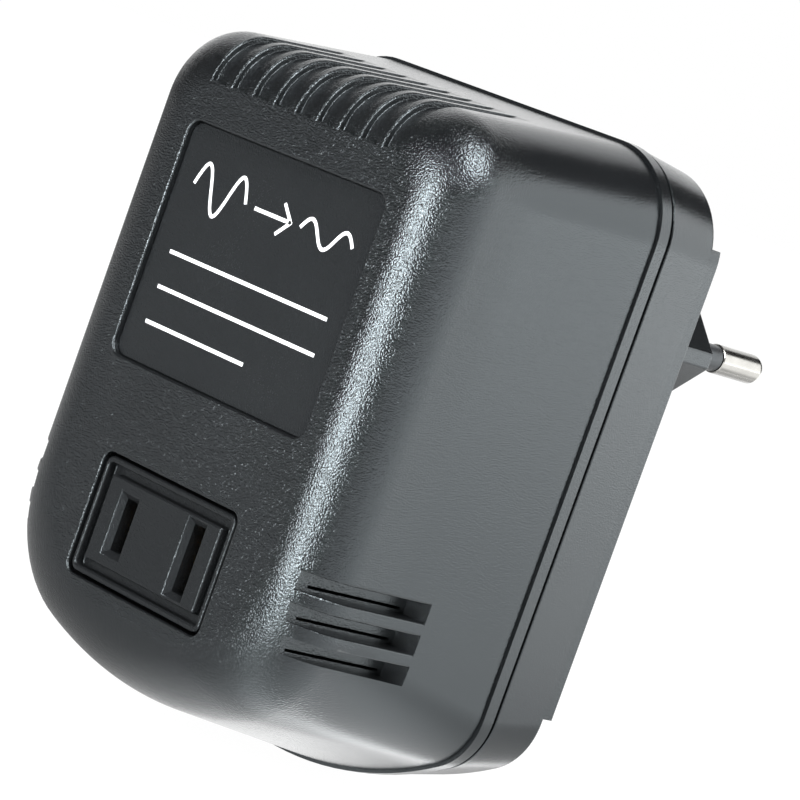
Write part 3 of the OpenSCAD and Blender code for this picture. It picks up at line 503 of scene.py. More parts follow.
# Rebate for the cover's tongue, pilot holes, and the air slits in the slots' floors
TONGUE_L, TONGUE_IN = 1.8, RIM_STEP + WALL / 2 + FIT
REBATE = RIM_STEP + WALL / 2
PILOT_R, PILOT_END, POST_PILOT_R = 1.2, 21.6, 0.88
SLIT_H, SLIT_LOW, SLIT_IN, SLIT_OUT = 0.4, 0.35, WALL + OVER, OVER + SLOT_BACK * SLOT_DRAFT
SLIT_FRONT, SLIT_REAR = WALL + 0.6, SLOT_BACK - 1.1
carve(front_shell, bar("rebate", "y", housing_outline(REBATE, REBATE, REBATE),
                       SHELL_D - TONGUE_L - FIT, SHELL_D + OVER))
carve(front_shell, repeated(rod("pilot", PILOT_R, PILOT_END, SHELL_D + OVER, 0, SCREW_MID, 24), housing_black,
                            2, 2 * SCREW_X, 2, SCREW_RISE))
carve(front_shell, repeated(rod("post pilot", POST_PILOT_R, WALL, EAR_Y + OVER, 0, OUTLET_Z, 24), housing_black,
                            2, 2 * POST_X))
slit, slit_z = SLIT_IN + SLIT_OUT, SLOT_Z - SLOT_H / 2 + SLIT_LOW
carve(front_shell, repeated(box("slit", -slit / 2, slit / 2, SLIT_FRONT, SLIT_REAR, slit_z, slit_z + SLIT_H),
                            housing_black, 2, 2 * (SLOT_FLOOR - SLIT_IN) + slit, SLOTS, PITCH))
set_in_frame(front_shell, housing_black)
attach(front_shell, "root")
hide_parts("front_shell")

# ---- Outlet insert
# A separate small moulding in black plastic that snaps in from behind with two lugs. A
# moat runs between its rounded rim and the middle plate, which has two flared blade slots.
insert_black = moulded("outlet black", 0.00005, ior_level=0.23, Gloss=0.2,
                       Dark=(0.005, 0.0055, 0.006, 1), Light=(0.008, 0.0086, 0.0092, 1))
INSERT_Y, GAP, LUG_REACH, LUG_H, LUG_SINK, INSERT_BACK, INSERT_R = 0.25, 0.4, 1.2, 9.0, 0.02, 3.9, 1.2
RIM_SIDE, RIM_END, MOAT_W, MOAT_D, RIM_R, PLATE_R = 0.7, 0.85, 1.2, 1.3, 0.5, 0.3
BLADE_PITCH, BLADE_W, LIVE_L, NEUTRAL_L, LEAD_IN = 12.7, 2.1, 6.8, 8.8, 0.75


def blade_slot(x, length):
    """Cutter for a blade slot: straight behind, flared in front, with a rounded mouth."""
    rings = [(INSERT_BACK + OVER, 0.0), (INSERT_Y + LEAD_IN, 0.0), (INSERT_Y + 0.1, LEAD_IN - 0.1),
             (INSERT_Y + 0.04, LEAD_IN - 0.02), (INSERT_Y + 0.01, LEAD_IN + 0.06),
             (INSERT_Y - 0.03, LEAD_IN + 0.18)]
    return loft("blade slot", [[(x + sx * (BLADE_W / 2 + e), y, OUTLET_Z + sz * (length / 2 + e))
                                for sx, sz in ((-1, -1), (1, -1), (1, 1), (-1, 1))] for y, e in rings])


def insert_ring(side, end, r, y):
    return level(round_rect(OUTLET_W - 2 * (GAP + side), OUTLET_H - 2 * (GAP + end), r, OUTLET_Z, 6), y)


# Rings from the back, over the rounded rim, through the moat and up to the middle plate
BEAD, FOOT = 0.3, 0.22
quarter = [math.radians(18 * i) for i in range(6)]
floor_y = INSERT_Y + MOAT_D
rings = [insert_ring(0, 0, INSERT_R, INSERT_BACK)]
rings += [insert_ring(BEAD * (1 - math.cos(a)), BEAD * (1 - math.cos(a)), INSERT_R - BEAD * (1 - math.cos(a)),
                      INSERT_Y + BEAD * (1 - math.sin(a))) for a in quarter]
for start, r, up in ((0.0, RIM_R, 1), (MOAT_W, PLATE_R, -1)):
    near, far = RIM_SIDE + start, RIM_END + start
    top = [(-BEAD * up * (1 - math.sin(a)), INSERT_Y + BEAD * (1 - math.cos(a))) for a in quarter]
    foot = [(FOOT * up * (1 - math.cos(a)), floor_y - FOOT * (1 - math.sin(a))) for a in quarter]
    for e, y in (top + foot)[::up]:
        rings.append(insert_ring(near + e, far + e, max(r - e, 0.1), y))
insert = loft("outlet_face", rings)
carve(insert, bar("lugs", "y", round_rect(OUTLET_W + 2 * LUG_REACH, LUG_H, OUTLET_R, OUTLET_Z),
                  WALL + 2 * FIT, INSERT_BACK - LUG_SINK), "UNION")
carve(insert, blade_slot(-BLADE_PITCH / 2, LIVE_L))
carve(insert, blade_slot(BLADE_PITCH / 2, NEUTRAL_L))
set_in_frame(insert, insert_black)
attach(insert, "root")
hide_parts("outlet_insert")

# ---- Rating plate
# A thin printed foil that lies in the label recess. A wave, an arrow and a smaller wave
# stand for what the converter does, above three plain lines.
PLATE_T, PLATE_EDGE = 0.2, 0.05
plate_black = moulded("plate black", 0.00003, ior_level=0.23, Gloss=0.24,
                      Dark=(0.006, 0.0066, 0.0072, 1), Light=(0.009, 0.0098, 0.0105, 1))
plate = bar("printed_plate", "y", round_rect(LABEL_W - 2 * FIT, LABEL_H - 2 * FIT, LABEL_R - FIT, LABEL_Z, 12),
            LABEL_DEEP - PLATE_T, LABEL_DEEP)
soften(plate, PLATE_EDGE, 2)
set_in_frame(plate, plate_black)
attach(plate, "root")
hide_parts("rating_plate")

# Geometry Nodes: one printed stroke, straight or waved, as a thin flat line
PRINT_Y, PRINT_T, PRINT_W, PRINT_N = LABEL_DEEP - PLATE_T, 0.04, 0.48, 64
stroke = bpy.data.node_groups.new("printed line", "GeometryNodeTree")
for label, kind in (("Start", "NodeSocketVector"), ("End", "NodeSocketVector"), ("Swing", "NodeSocketFloat"),
                    ("Waves", "NodeSocketFloat"), ("Width", "NodeSocketFloat"), ("Thickness", "NodeSocketFloat"),
                    ("Finish", "NodeSocketMaterial")):
    stroke.interface.new_socket(label, in_out="INPUT", socket_type=kind)
stroke.interface.new_socket("Print", in_out="OUTPUT", socket_type="NodeSocketGeometry")
stroke_in = stroke.nodes.new("NodeGroupInput").outputs
line = stroke.nodes.new("GeometryNodeCurvePrimitiveLine")
stroke.links.new(stroke_in["Start"], line.inputs["Start"])
stroke.links.new(stroke_in["End"], line.inputs["End"])
fine = stroke.nodes.new("GeometryNodeResampleCurve")
fine.inputs["Count"].default_value = PRINT_N
stroke.links.new(line.outputs["Curve"], fine.inputs["Curve"])
along = stroke.nodes.new("GeometryNodeSplineParameter").outputs["Factor"]
phase = math_node(stroke, "MULTIPLY", math_node(stroke, "MULTIPLY", along, stroke_in["Waves"]), 2 * math.pi)
offset = stroke.nodes.new("ShaderNodeCombineXYZ")
stroke.links.new(math_node(stroke, "MULTIPLY", math_node(stroke, "SINE", phase), stroke_in["Swing"]),
                 offset.inputs["Z"])
waved = stroke.nodes.new("GeometryNodeSetPosition")
stroke.links.new(fine.outputs["Curve"], waved.inputs["Geometry"])
stroke.links.new(offset.outputs[0], waved.inputs["Offset"])
level_lines = stroke.nodes.new("GeometryNodeSetCurveNormal")
level_lines.mode = "Z_UP"
stroke.links.new(waved.outputs["Geometry"], level_lines.inputs["Curve"])
nib = stroke.nodes.new("GeometryNodeCurvePrimitiveQuadrilateral")
stroke.links.new(stroke_in["Thickness"], nib.inputs["Width"])
stroke.links.new(stroke_in["Width"], nib.inputs["Height"])
inked = stroke.nodes.new("GeometryNodeCurveToMesh")
inked.inputs["Fill Caps"].default_value = True
stroke.links.new(level_lines.outputs["Curve"], inked.inputs["Curve"])
stroke.links.new(nib.outputs["Curve"], inked.inputs["Profile Curve"])
real = stroke.nodes.new("GeometryNodeRealizeInstances")
stroke.links.new(inked.outputs["Mesh"], real.inputs["Geometry"])
paint = stroke.nodes.new("GeometryNodeSetMaterial")
stroke.links.new(real.outputs["Geometry"], paint.inputs["Geometry"])
stroke.links.new(stroke_in["Finish"], paint.inputs["Material"])
stroke.links.new(paint.outputs["Geometry"], stroke.nodes.new("NodeGroupOutput").inputs["Print"])

print_white = moulded("screen print white", 0.00001, ior_level=0.3, Gloss=0.4,
                      Dark=(0.60, 0.62, 0.63, 1), Light=(0.74, 0.76, 0.77, 1))
# Each line runs from x, z to x, z about the plate's middle, with its swing and its number of waves
lines = [(-15.0, 8.0, -5.0, 8.0, 3.0, 1.5), (-3.2, 8.0, 3.6, 8.0, 0.0, 0.0), (1.6, 10.0, 3.7, 7.9, 0.0, 0.0),
         (1.6, 6.0, 3.7, 8.1, 0.0, 0.0), (5.4, 8.0, 15.0, 8.0, 1.5, 1.5)]
lines += [(-15.0, z, x, z, 0.0, 0.0) for z, x in ((-1.0, 15.0), (-5.6, 15.0), (-10.2, 4.0))]
strokes = bmesh.new()
for x0, z0, x1, z1, swing, waves in lines:
    piece = bpy.data.objects.new("stroke", bpy.data.meshes.new("stroke"))
    bpy.context.scene.collection.objects.link(piece)
    grown(piece, stroke, {"Start": (x0, PRINT_Y, LABEL_Z + z0), "End": (x1, PRINT_Y, LABEL_Z + z1),
                          "Swing": swing, "Waves": waves, "Width": PRINT_W, "Thickness": PRINT_T,
                          "Finish": print_white})
    strokes.from_mesh(piece.data)
    bpy.data.objects.remove(piece)
printed_mesh = bpy.data.meshes.new("plate_print")
strokes.to_mesh(printed_mesh)
strokes.free()
printed = bpy.data.objects.new("plate_print", printed_mesh)
bpy.context.scene.collection.objects.link(printed)
set_in_frame(printed, print_white)
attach(printed, "root")

# ---- Contact block behind the outlet
# Two sprung brass contacts sit in a pale thermoset block, held to the shell's posts by
# two plated screws. The blades show as brass through the outlet's slots.


def dressed(node, finish):
    """Give a CAD node its procedural material."""
    nodes[node].data.materials.clear()
    nodes[node].data.materials.append(finish)


# Drawn or rolled metal: fine scratches along one way, with slow tarnish
metal, metal_in, metal_out = shader_group(
    "worked metal",
    (("Vector", "NodeSocketVector", None), ("Scratch scale", "NodeSocketVector", (900.0, 9000.0, 900.0)),
     ("Gloss", "NodeSocketFloat", 0.25), ("Tarnish", "NodeSocketFloat", 0.2),
     ("Bright", "NodeSocketColor", (0.7, 0.7, 0.7, 1)), ("Dull", "NodeSocketColor", (0.4, 0.4, 0.4, 1))),
    (("Colour", "NodeSocketColor"), ("Roughness", "NodeSocketFloat"), ("Height", "NodeSocketFloat")))
drawn_out = metal.nodes.new("ShaderNodeVectorMath")
drawn_out.operation = "MULTIPLY"
metal.links.new(metal_in["Vector"], drawn_out.inputs[0])
metal.links.new(metal_in["Scratch scale"], drawn_out.inputs[1])
scratch = noise(metal, drawn_out.outputs[0], 1.0, 3.0, 0.6)
stain = noise(metal, metal_in["Vector"], 260.0, 4.0, 0.6)
metal.links.new(scratch, metal_out["Height"])
metal.links.new(math_node(metal, "MULTIPLY_ADD", math_node(metal, "ADD", scratch, stain), 0.16,
                          math_node(metal, "SUBTRACT", metal_in["Gloss"], 0.16), True), metal_out["Roughness"])
blend = metal.nodes.new("ShaderNodeMix")
blend.data_type = "RGBA"
metal.links.new(math_node(metal, "MULTIPLY", math_node(metal, "MULTIPLY_ADD", stain, 3.0, -1.0, True),
                          metal_in["Tarnish"]), blend.inputs["Factor"])
metal.links.new(metal_in["Bright"], blend.inputs[6])
metal.links.new(metal_in["Dull"], blend.inputs[7])
metal.links.new(blend.outputs[2], metal_out["Colour"])


def worked(name, bright, dull, gloss, tarnish=0.3, scratch_scale=(900.0, 9000.0, 900.0), depth=0.000004):
    finish, shader = skinned(name, metal, depth, {"Gloss": gloss, "Tarnish": tarnish, "Bright": (*bright, 1),
                                                  "Dull": (*dull, 1), "Scratch scale": scratch_scale})
    shader.inputs["Metallic"].default_value = 1.0
    return finish


spring_brass = worked("spring brass", (0.72, 0.52, 0.22), (0.38, 0.25, 0.10), 0.3, 0.5)
screw_steel = worked("zinc plated steel", (0.62, 0.62, 0.63), (0.36, 0.35, 0.33), 0.3, 0.5)
dressed("contact_carrier", moulded("thermoset cream", 0.00002, Gloss=0.5,
                                   Dark=(0.52, 0.47, 0.35, 1), Light=(0.66, 0.61, 0.49, 1)))
dressed("live_contact", spring_brass)
dressed("neutral_contact", spring_brass)
dressed("carrier_screws", screw_steel)

# ---- Transformer core
# Stamped silicon-steel laminations stacked along the depth, an E stack closed by an I
# stack, held together by a bent steel strap.
lamination = (300.0, 14000.0, 300.0)
core_steel = worked("silicon steel laminations", (0.34, 0.35, 0.37), (0.10, 0.09, 0.09), 0.42, 0.7,
                    lamination, 0.00006)
dressed("core_e_stack", core_steel)
dressed("core_i_stack", core_steel)
dressed("core_clamp", worked("strap steel", (0.55, 0.56, 0.58), (0.30, 0.29, 0.28), 0.34, 0.4))

# ---- Bobbin and windings
# A moulded nylon bobbin carries the fine primary and the thicker secondary of enamelled
# copper wire, wound in layers and closed with a yellow polyester tape.
turns = (200.0, 200.0, 3200.0)
copper = worked("enamelled copper", (0.62, 0.27, 0.11), (0.30, 0.11, 0.05), 0.3, 0.5, turns, 0.00008)
dressed("bobbin", moulded("nylon", 0.00001, Gloss=0.45, Dark=(0.62, 0.60, 0.53, 1), Light=(0.74, 0.72, 0.66, 1)))
dressed("primary_winding", copper)
dressed("secondary_winding", copper)
dressed("winding_tape", moulded("polyester tape", 0.00001, Gloss=0.3, Pebbles_per_metre=1500.0,
                                Dark=(0.62, 0.45, 0.06, 1), Light=(0.78, 0.60, 0.12, 1)))

# ---- Thermal fuse and solder tags
# The fuse lies on the back of the coil in a pale ceramic case. Four tinned brass tags
# are pressed into the bobbin's flanges.
dressed("thermal_fuse", moulded("fuse case", 0.00001, Gloss=0.5,
                                Dark=(0.60, 0.59, 0.55, 1), Light=(0.72, 0.71, 0.68, 1)))
dressed("terminal_tags", worked("tinned brass", (0.70, 0.62, 0.44), (0.42, 0.36, 0.26), 0.3, 0.6))

# ---- Leads
# Stranded copper in PVC, from the pins to the fuse and coil and from the coil to the
# outlet's contacts, soldered at both ends.
for node, name, dark, light in (
        ("mains_live_lead", "brown PVC", (0.075, 0.032, 0.014), (0.11, 0.05, 0.024)),
        ("fuse_lead", "brown PVC", (0.075, 0.032, 0.014), (0.11, 0.05, 0.024)),
        ("mains_neutral_lead", "blue PVC", (0.02, 0.07, 0.26), (0.035, 0.11, 0.36)),
        ("output_live_lead", "black PVC", (0.012, 0.012, 0.013), (0.022, 0.022, 0.024)),
        ("output_neutral_lead", "white PVC", (0.62, 0.61, 0.58), (0.76, 0.75, 0.72))):
    if name not in bpy.data.materials:
        moulded(name, 0.000006, Gloss=0.36, Dark=(*dark, 1), Light=(*light, 1))
    dressed(node, bpy.data.materials[name])

# ---- Plug pins
# Two turned brass pins with nickel plating, rounded at the tip. A black sleeve covers the
# neck next to the nose, and a block inside the nose traps the pins' collars.
NOSE_Y, NOSE_END, PIN_L, PIN_Z, PIN_PITCH = 68.0, 3.0, 19.0, BODY_H - 23.5, 19.0
SLEEVE_L, SLEEVE_R, PIN_R, NECK_R, TIP_R, COLLAR_R = 10.0, 1.8, 2.0, 1.35, 1.2, 2.9
TAIL_Y, COLLAR_Y, COLLAR_T, EDGE_CUT, SLEEVE_FIT = 54.85, 63.35, 1.5, 0.12, 0.05
nickel = worked("nickel plate", (0.30, 0.295, 0.28), (0.2, 0.195, 0.18), 0.24, 0.35,
                (2600.0, 500.0, 2600.0), 0.000002)
shoulder, tip = NOSE_Y + SLEEVE_L, NOSE_Y + PIN_L
pins = turned("nickel_pins", [(0, TAIL_Y), (NECK_R, TAIL_Y), (NECK_R, COLLAR_Y), (COLLAR_R, COLLAR_Y),
                              (COLLAR_R, COLLAR_Y + COLLAR_T), (NECK_R, COLLAR_Y + COLLAR_T), (NECK_R, shoulder),
                              (PIN_R - EDGE_CUT, shoulder), (PIN_R, shoulder + EDGE_CUT)]
              + arc(PIN_R - TIP_R, tip - TIP_R, TIP_R, 0, 90, 10) + [(0, tip)], 0, PIN_Z, 64)
pins = repeated(pins, nickel, 2, PIN_PITCH)
set_in_frame(pins, nickel)
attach(pins, "root")
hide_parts("plug_pins")

sleeve_black = moulded("sleeve black", 0.000008, Gloss=0.42,
                       Dark=(0.010, 0.010, 0.011, 1), Light=(0.016, 0.016, 0.017, 1))
y0, y1, bore = COLLAR_Y + COLLAR_T + SLEEVE_FIT, shoulder - SLEEVE_FIT, NECK_R + SLEEVE_FIT
sleeves = turned("pin_insulation", [(bore, y0), (SLEEVE_R, y0), (SLEEVE_R, y1 - EDGE_CUT),
                                    (SLEEVE_R - EDGE_CUT, y1), (bore, y1)], 0, PIN_Z, 64)
sleeves = repeated(sleeves, sleeve_black, 2, PIN_PITCH)
set_in_frame(sleeves, sleeve_black)
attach(sleeves, "root")
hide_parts("pin_sleeves")
dressed("pin_retainer", moulded("retainer grey", 0.00002, Gloss=0.5,
                                Dark=(0.06, 0.062, 0.065, 1), Light=(0.085, 0.088, 0.09, 1)))

# ---- Rear cover
# The second black ABS moulding closes the housing. A flat pad stands against the wall,
# a hollow six-sided nose carries the pins, and four wells take the case screws.
SEAM, REAR_Y, PAD_Y, COVER_EDGE, EDGE_BREAK, PAD_ROUND, PAD_FROM = 0.8, 44.6, 46.0, 0.6, 0.1, 0.2, 0.3
GAP_Y = SHELL_D + SEAM
COVER_SIDE_DRAFT, COVER_END_DRAFT = math.tan(math.radians(1.3)), math.tan(math.radians(6.5))
PAD_LOW, PAD_TOP, FLOOR_Y = 17.0, 79.5, 43.0
NOSE_W, NOSE_H, NOSE_FLAT, NOSE_WALL = 35.3, 13.7, 2.0, 1.9
HEAD_R, HEAD_H, HEAD_Y, TOWER_R, HOLE_R, WELL_CLEAR = 2.8, 2.0, 42.6, 3.6, 1.65, 0.02


def cover_outline(y, inset=0.0):
    side, end = (RIM_STEP + (y - GAP_Y) * draft + inset for draft in (COVER_SIDE_DRAFT, COVER_END_DRAFT))
    return housing_outline(side, end, end)


def cover_ring(y, inset=0.0):
    return level(cover_outline(y, inset), y)


def nose_outline(i):
    """Six sides with cut ends: the plug nose's outline, drawn in by i."""
    x, z, f = NOSE_W / 2 - i, NOSE_H / 2 - i, NOSE_FLAT / 2 - i * (math.sqrt(2) - 1)
    k = x - (z - f)
    corners = ((x, f), (k, z), (-k, z), (-x, f), (-x, -f), (-k, -z), (k, -z), (x, -f))
    return [(px, PIN_Z + pz) for px, pz in corners]


cover = loft("moulded_rear_cover",
             [cover_ring(REAR_Y - COVER_EDGE * (1 - math.sin(a)), COVER_EDGE * (1 - math.cos(a)))
              for a in (math.radians(90 - 10 * i) for i in range(10))]
             + [cover_ring(GAP_Y + EDGE_BREAK), cover_ring(GAP_Y, EDGE_BREAK)])
pad = bar("pad", "y", cover_outline(REAR_Y), GAP_Y + WALL, PAD_Y)
carve(pad, box("pad band", -BODY_W, BODY_W, 0, PAD_Y + OVER, PAD_LOW, PAD_TOP), "INTERSECT")
carve(cover, pad, "UNION")
carve(cover, bar("nose", "y", nose_outline(0), FLOOR_Y, NOSE_Y), "UNION")
soften(cover, PAD_ROUND, front=REAR_Y + PAD_FROM)
carve(cover, repeated(rod("well", HEAD_R + FIT, HEAD_Y - HEAD_H, PAD_Y + OVER, 0, SCREW_MID), housing_black,
                      2, 2 * SCREW_X, 2, SCREW_RISE))
carve(cover, loft("room", [cover_ring(REAR_Y - WALL, WALL), cover_ring(SHELL_D - OVER, WALL)]))
carve(cover, box("nose step", -NOSE_W / 2 - WALL, NOSE_W / 2 + WALL, SHELL_D, FLOOR_Y,
                 PIN_Z - NOSE_H / 2 - WALL, PIN_Z + NOSE_H / 2 + WALL))
TONGUE_T = 1.0
tongue_room = TONGUE_IN + TONGUE_T
tongue = bar("tongue", "y", housing_outline(TONGUE_IN, TONGUE_IN, TONGUE_IN),
             SHELL_D - TONGUE_L, SHELL_D + WALL)
carve(tongue, bar("tongue room", "y", housing_outline(tongue_room, tongue_room, tongue_room),
                  SHELL_D - TONGUE_L - OVER, SHELL_D + WALL + OVER))
carve(tongue, repeated(rod("boss room", BOSS_R + FIT, SHELL_D - TONGUE_L - OVER, SHELL_D + FIT, 0, SCREW_MID),
                       housing_black, 2, 2 * SCREW_X, 2, SCREW_RISE))
carve(cover, tongue, "UNION")
well_floor, well_r = HEAD_Y - HEAD_H, HEAD_R + FIT + WELL_CLEAR
tower = turned("tower", [(HOLE_R, SHELL_D + FIT), (TOWER_R, SHELL_D + FIT), (TOWER_R, REAR_Y - WALL / 2),
                         (well_r, REAR_Y - WALL / 2), (well_r, well_floor), (HOLE_R, well_floor)],
               0, SCREW_MID)
carve(cover, repeated(tower, housing_black, 2, 2 * SCREW_X, 2, SCREW_RISE), "UNION")
carve(cover, repeated(box("pillar", -PILLAR / 2, PILLAR / 2, CORE_REAR + FIT, REAR_Y - WALL / 2,
                          (PILLAR_LOW + PILLAR_TOP - PILLAR) / 2, (PILLAR_LOW + PILLAR_TOP + PILLAR) / 2),
                      housing_black, 2, 2 * PILLAR_X, 2, PILLAR_TOP - PILLAR_LOW), "UNION")
carve(cover, bar("nose room", "y", nose_outline(NOSE_WALL), FLOOR_Y - OVER, NOSE_Y - NOSE_END))
carve(cover, repeated(rod("pin hole", SLEEVE_R + FIT, NOSE_Y - NOSE_END - OVER, NOSE_Y + OVER, 0, PIN_Z),
                      housing_black, 2, PIN_PITCH))
set_in_frame(cover, housing_black)
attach(cover, "root")
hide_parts("rear_cover")

# ---- Case screws
# Four self-tapping steel screws with round heads and a cross recess, driven from the back
# through the cover's towers into the shell's bosses.
SCREW_R, SCREW_TIP, TIP_FLAT, TIP_L, DOME_H = 1.19, HEAD_Y - 20.0, 0.5, 1.6, 0.7
CROSS_L, CROSS_W, CROSS_FOOT, CROSS_MOUTH = HEAD_R * 0.62, 0.32, (HEAD_Y - 1.3, 0.55), (HEAD_Y + 0.3, 1.1)
dome = [(HEAD_R * math.cos(math.radians(a)), HEAD_Y - DOME_H + DOME_H * math.sin(math.radians(a)))
        for a in range(0, 90, 15)]
screw = turned("driven_screws", [(0, SCREW_TIP), (TIP_FLAT, SCREW_TIP), (SCREW_R, SCREW_TIP + TIP_L),
                                 (SCREW_R, HEAD_Y - HEAD_H), (HEAD_R, HEAD_Y - HEAD_H)] + dome + [(0, HEAD_Y)],
               0, SCREW_MID, 32)
for across, along in ((CROSS_L, CROSS_W), (CROSS_W, CROSS_L)):
    carve(screw, loft("recess", [[(sx * across * k, y, SCREW_MID + sz * along * k)
                                  for sx, sz in ((-1, -1), (1, -1), (1, 1), (-1, 1))]
                                 for y, k in (CROSS_FOOT, CROSS_MOUTH)]))
screws = repeated(screw, screw_steel, 2, 2 * SCREW_X, 2, SCREW_RISE)
set_in_frame(screws, screw_steel)
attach(screws, "root")
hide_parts("case_screws")

# ---- Studio
# A pale floor under a white surround with a dark ceiling, a tall strip light in front, a
# key light above the camera, a wide soft light to the right and one high at the back.
AIM = Vector((0.0, -0.01, 0.04))


def softbox(name, azimuth, elevation, distance, width, height, radiance):
    """Area lamp on a sphere about the object: angles in degrees, lengths in metres."""
    lamp = bpy.data.lights.new(name, "AREA")
    lamp.shape, lamp.size, lamp.size_y = "RECTANGLE", width, height
    lamp.energy = radiance * math.pi * width * height
    box_light = bpy.data.objects.new(name, lamp)
    a, e = math.radians(azimuth), math.radians(elevation)
    away = Vector((math.sin(a) * math.cos(e), -math.cos(a) * math.cos(e), math.sin(e)))
    box_light.location = AIM + away * distance
    box_light.rotation_euler = away.to_track_quat("Z", "Y").to_euler()
    box_light.visible_camera = False
    bpy.context.scene.collection.objects.link(box_light)


softbox("front strip", -1.0, 8.0, 0.6, 0.10, 0.30, 62.0)
softbox("key above the camera", 60.0, 50.0, 0.7, 0.28, 0.42, 32.0)
softbox("right softbox", 125.0, 14.0, 0.7, 1.0, 0.7, 3.2)
softbox("back softbox", 231.0, 33.0, 0.8, 0.9, 0.8, 1.35)


def seen_rays(tree):
    """Light path outputs, and 1 where a ray is seen: straight, mirrored or through."""
    ray = tree.nodes.new("ShaderNodeLightPath").outputs
    straight = math_node(tree, "MAXIMUM", ray["Is Camera Ray"], ray["Is Glossy Ray"])
    return ray, math_node(tree, "MAXIMUM", straight, ray["Is Transmission Ray"])


# The floor is white to the camera, apart from a share that takes the object's shadow
FLOOR_HALF, FLOOR_Z, FLOOR_WHITE, FLOOR_GLOW = 4.0, -0.0003, 0.94, 1.05
floor_finish = bpy.data.materials.new("pale floor")
floor_finish.use_nodes = True
tree = floor_finish.node_tree
tree.nodes.clear()
ray, seen = seen_rays(tree)
matt = tree.nodes.new("ShaderNodeBsdfDiffuse")
matt.inputs["Color"].default_value = (0.85, 0.85, 0.85, 1)
white = tree.nodes.new("ShaderNodeEmission")
white.inputs["Color"].default_value = (1, 1, 1, 1)
mixed = tree.nodes.new("ShaderNodeMixShader")
tree.links.new(math_node(tree, "MULTIPLY", seen, FLOOR_WHITE), mixed.inputs["Fac"])
tree.links.new(matt.outputs[0], mixed.inputs[1])
# In reflections the floor glows with painted light where the lamps would light it: to the right and in front
place = tree.nodes.new("ShaderNodeSeparateXYZ")
tree.links.new(tree.nodes.new("ShaderNodeTexCoord").outputs["Object"], place.inputs[0])
east, north = place.outputs["X"], place.outputs["Y"]


def ramp(value, from_min, from_max, to_min, to_max):
    node = tree.nodes.new("ShaderNodeMapRange")
    node.interpolation_type = "SMOOTHSTEP"
    tree.links.new(value, node.inputs["Value"])
    for label, number in (("From Min", from_min), ("From Max", from_max), ("To Min", to_min), ("To Max", to_max)):
        node.inputs[label].default_value = number
    return node.outputs["Result"]


def distance(x, y):
    squares = [math_node(tree, "POWER", math_node(tree, "SUBTRACT", value, centre), 2.0)
               for value, centre in ((east, x), (north, y))]
    return math_node(tree, "SQRT", math_node(tree, "ADD", *squares))


def times(a, b):
    return math_node(tree, "MULTIPLY", a, b)


away = distance(0.0, 0.0)
beside = math_node(tree, "MULTIPLY_ADD", east, 0.82, math_node(tree, "MULTIPLY", north, 0.57))
forward = math_node(tree, "MAXIMUM", math_node(tree, "SUBTRACT", -0.03, north), 0.02)
aside = math_node(tree, "DIVIDE", math_node(tree, "ABSOLUTE", math_node(tree, "SUBTRACT", east, 0.022)), forward)
# Painted glow of the floor at large, with painted shade under the object, far away and at the back
painted_glow = times(ramp(away, 0.1, 0.35, 0.5, 0.8), ramp(away, 0.4, 1.2, 1.0, 0.3))
painted_glow = times(painted_glow, ramp(north, -0.02, 0.1, 1.0, 0.5))
# Painted light from the right, with painted shade under the plug; a painted glowing patch under the toe; the strip
# light's track painted in front as a bright streak
for painted_patch in (times(ramp(beside, -0.02, 0.095, 0.0, 2.2), ramp(distance(0.02, 0.08), 0.05, 0.10, 0.3, 1.0)),
              times(ramp(distance(0.028, -0.022), 0.01, 0.05, 1.8, 0.0), ramp(north, -0.02, 0.01, 1.0, 0.0)),
              times(ramp(aside, 0.04, 0.17, 40.0, 0.0), ramp(north, -0.20, -0.05, 1.0, 0.06))):
    painted_glow = math_node(tree, "ADD", painted_glow, painted_patch)
tree.links.new(math_node(tree, "MULTIPLY_ADD", math_node(tree, "SUBTRACT", painted_glow, 1.0), ray["Is Glossy Ray"],
                         FLOOR_GLOW), white.inputs["Strength"])
tree.links.new(white.outputs[0], mixed.inputs[2])
tree.links.new(mixed.outputs[0], tree.nodes.new("ShaderNodeOutputMaterial").inputs["Surface"])
floor_mesh = bpy.data.meshes.new("floor")
floor_mesh.from_pydata([(x * FLOOR_HALF, y * FLOOR_HALF, FLOOR_Z) for x, y in ((-1, -1), (1, -1), (1, 1), (-1, 1))],
                       [], [(0, 1, 2, 3)])
floor_mesh.materials.append(floor_finish)
floor = bpy.data.objects.new("floor", floor_mesh)
bpy.context.scene.collection.objects.link(floor)

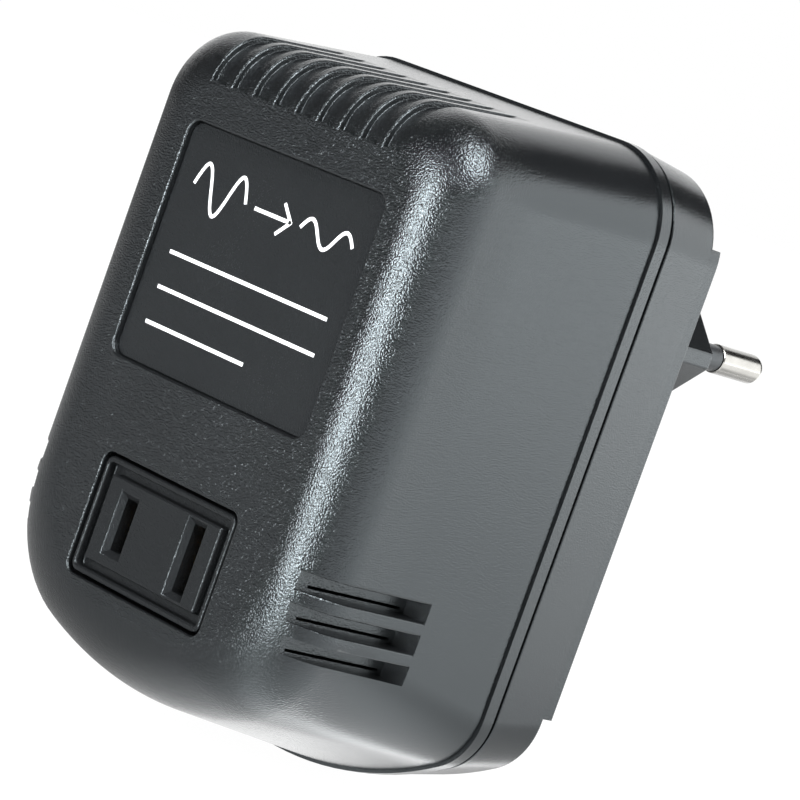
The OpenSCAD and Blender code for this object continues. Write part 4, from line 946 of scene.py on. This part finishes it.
# The surround is white to the camera; mirrored rays see a dark ceiling over a pale horizon
SOFT_FILL = 0.45
scene = bpy.context.scene
world = bpy.data.worlds.new("white surround")
world.use_nodes = True
scene.world = world
tree = world.node_tree
tree.nodes.clear()
ray, seen = seen_rays(tree)
way = tree.nodes.new("ShaderNodeSeparateXYZ")
tree.links.new(tree.nodes.new("ShaderNodeTexCoord").outputs["Generated"], way.inputs[0])
ceiling = tree.nodes.new("ShaderNodeMapRange")
ceiling.interpolation_type = "SMOOTHSTEP"
tree.links.new(way.outputs["Z"], ceiling.inputs["Value"])
for label, value in (("From Min", -0.02), ("From Max", 0.25), ("To Min", 0.22), ("To Max", 0.04)):
    ceiling.inputs[label].default_value = value
surround = tree.nodes.new("ShaderNodeBackground")
tree.links.new(math_node(tree, "MAXIMUM", ceiling.outputs["Result"], ray["Is Camera Ray"]),
               surround.inputs["Strength"])
fill = tree.nodes.new("ShaderNodeBackground")
fill.inputs["Strength"].default_value = SOFT_FILL
for light in (surround, fill):
    light.inputs["Color"].default_value = (1, 1, 1, 1)
mixed = tree.nodes.new("ShaderNodeMixShader")
tree.links.new(seen, mixed.inputs["Fac"])
tree.links.new(fill.outputs[0], mixed.inputs[1])
tree.links.new(surround.outputs[0], mixed.inputs[2])
tree.links.new(mixed.outputs[0], tree.nodes.new("ShaderNodeOutputWorld").inputs["Surface"])

# The camera stands low at the right front, turned about its own axis as in the picture
CAM_AZ, CAM_EL, CAM_ROLL, CAM_LENS, CAM_SENSOR = 43.4657, 4.7226, 19.7792, 184.5, 36.0
CAM_AWAY, CAM_SIDE, CAM_UP = 0.50043, 0.022926, -0.007892
az, el, roll = (math.radians(v) for v in (CAM_AZ, CAM_EL, CAM_ROLL))
back = Vector((math.sin(az) * math.cos(el), -math.cos(az) * math.cos(el), math.sin(el)))
right = Vector((math.cos(az), math.sin(az), 0))
up = back.cross(right)
right_turned = math.cos(roll) * right + math.sin(roll) * up
up_turned = math.cos(roll) * up - math.sin(roll) * right
eye = right * CAM_SIDE + up * CAM_UP + back * CAM_AWAY + Vector((0, FRONT_Y * MM, LABEL_Z * MM))
view = bpy.data.cameras.new("camera")
view.lens, view.sensor_width, view.clip_start, view.clip_end = CAM_LENS, CAM_SENSOR, 0.01, 20.0
camera = bpy.data.objects.new("camera", view)
camera.matrix_world = Matrix([(right_turned[i], up_turned[i], back[i], eye[i]) for i in range(3)] + [(0, 0, 0, 1)])
scene.collection.objects.link(camera)
scene.camera = camera
scene.view_settings.view_transform = "Standard"
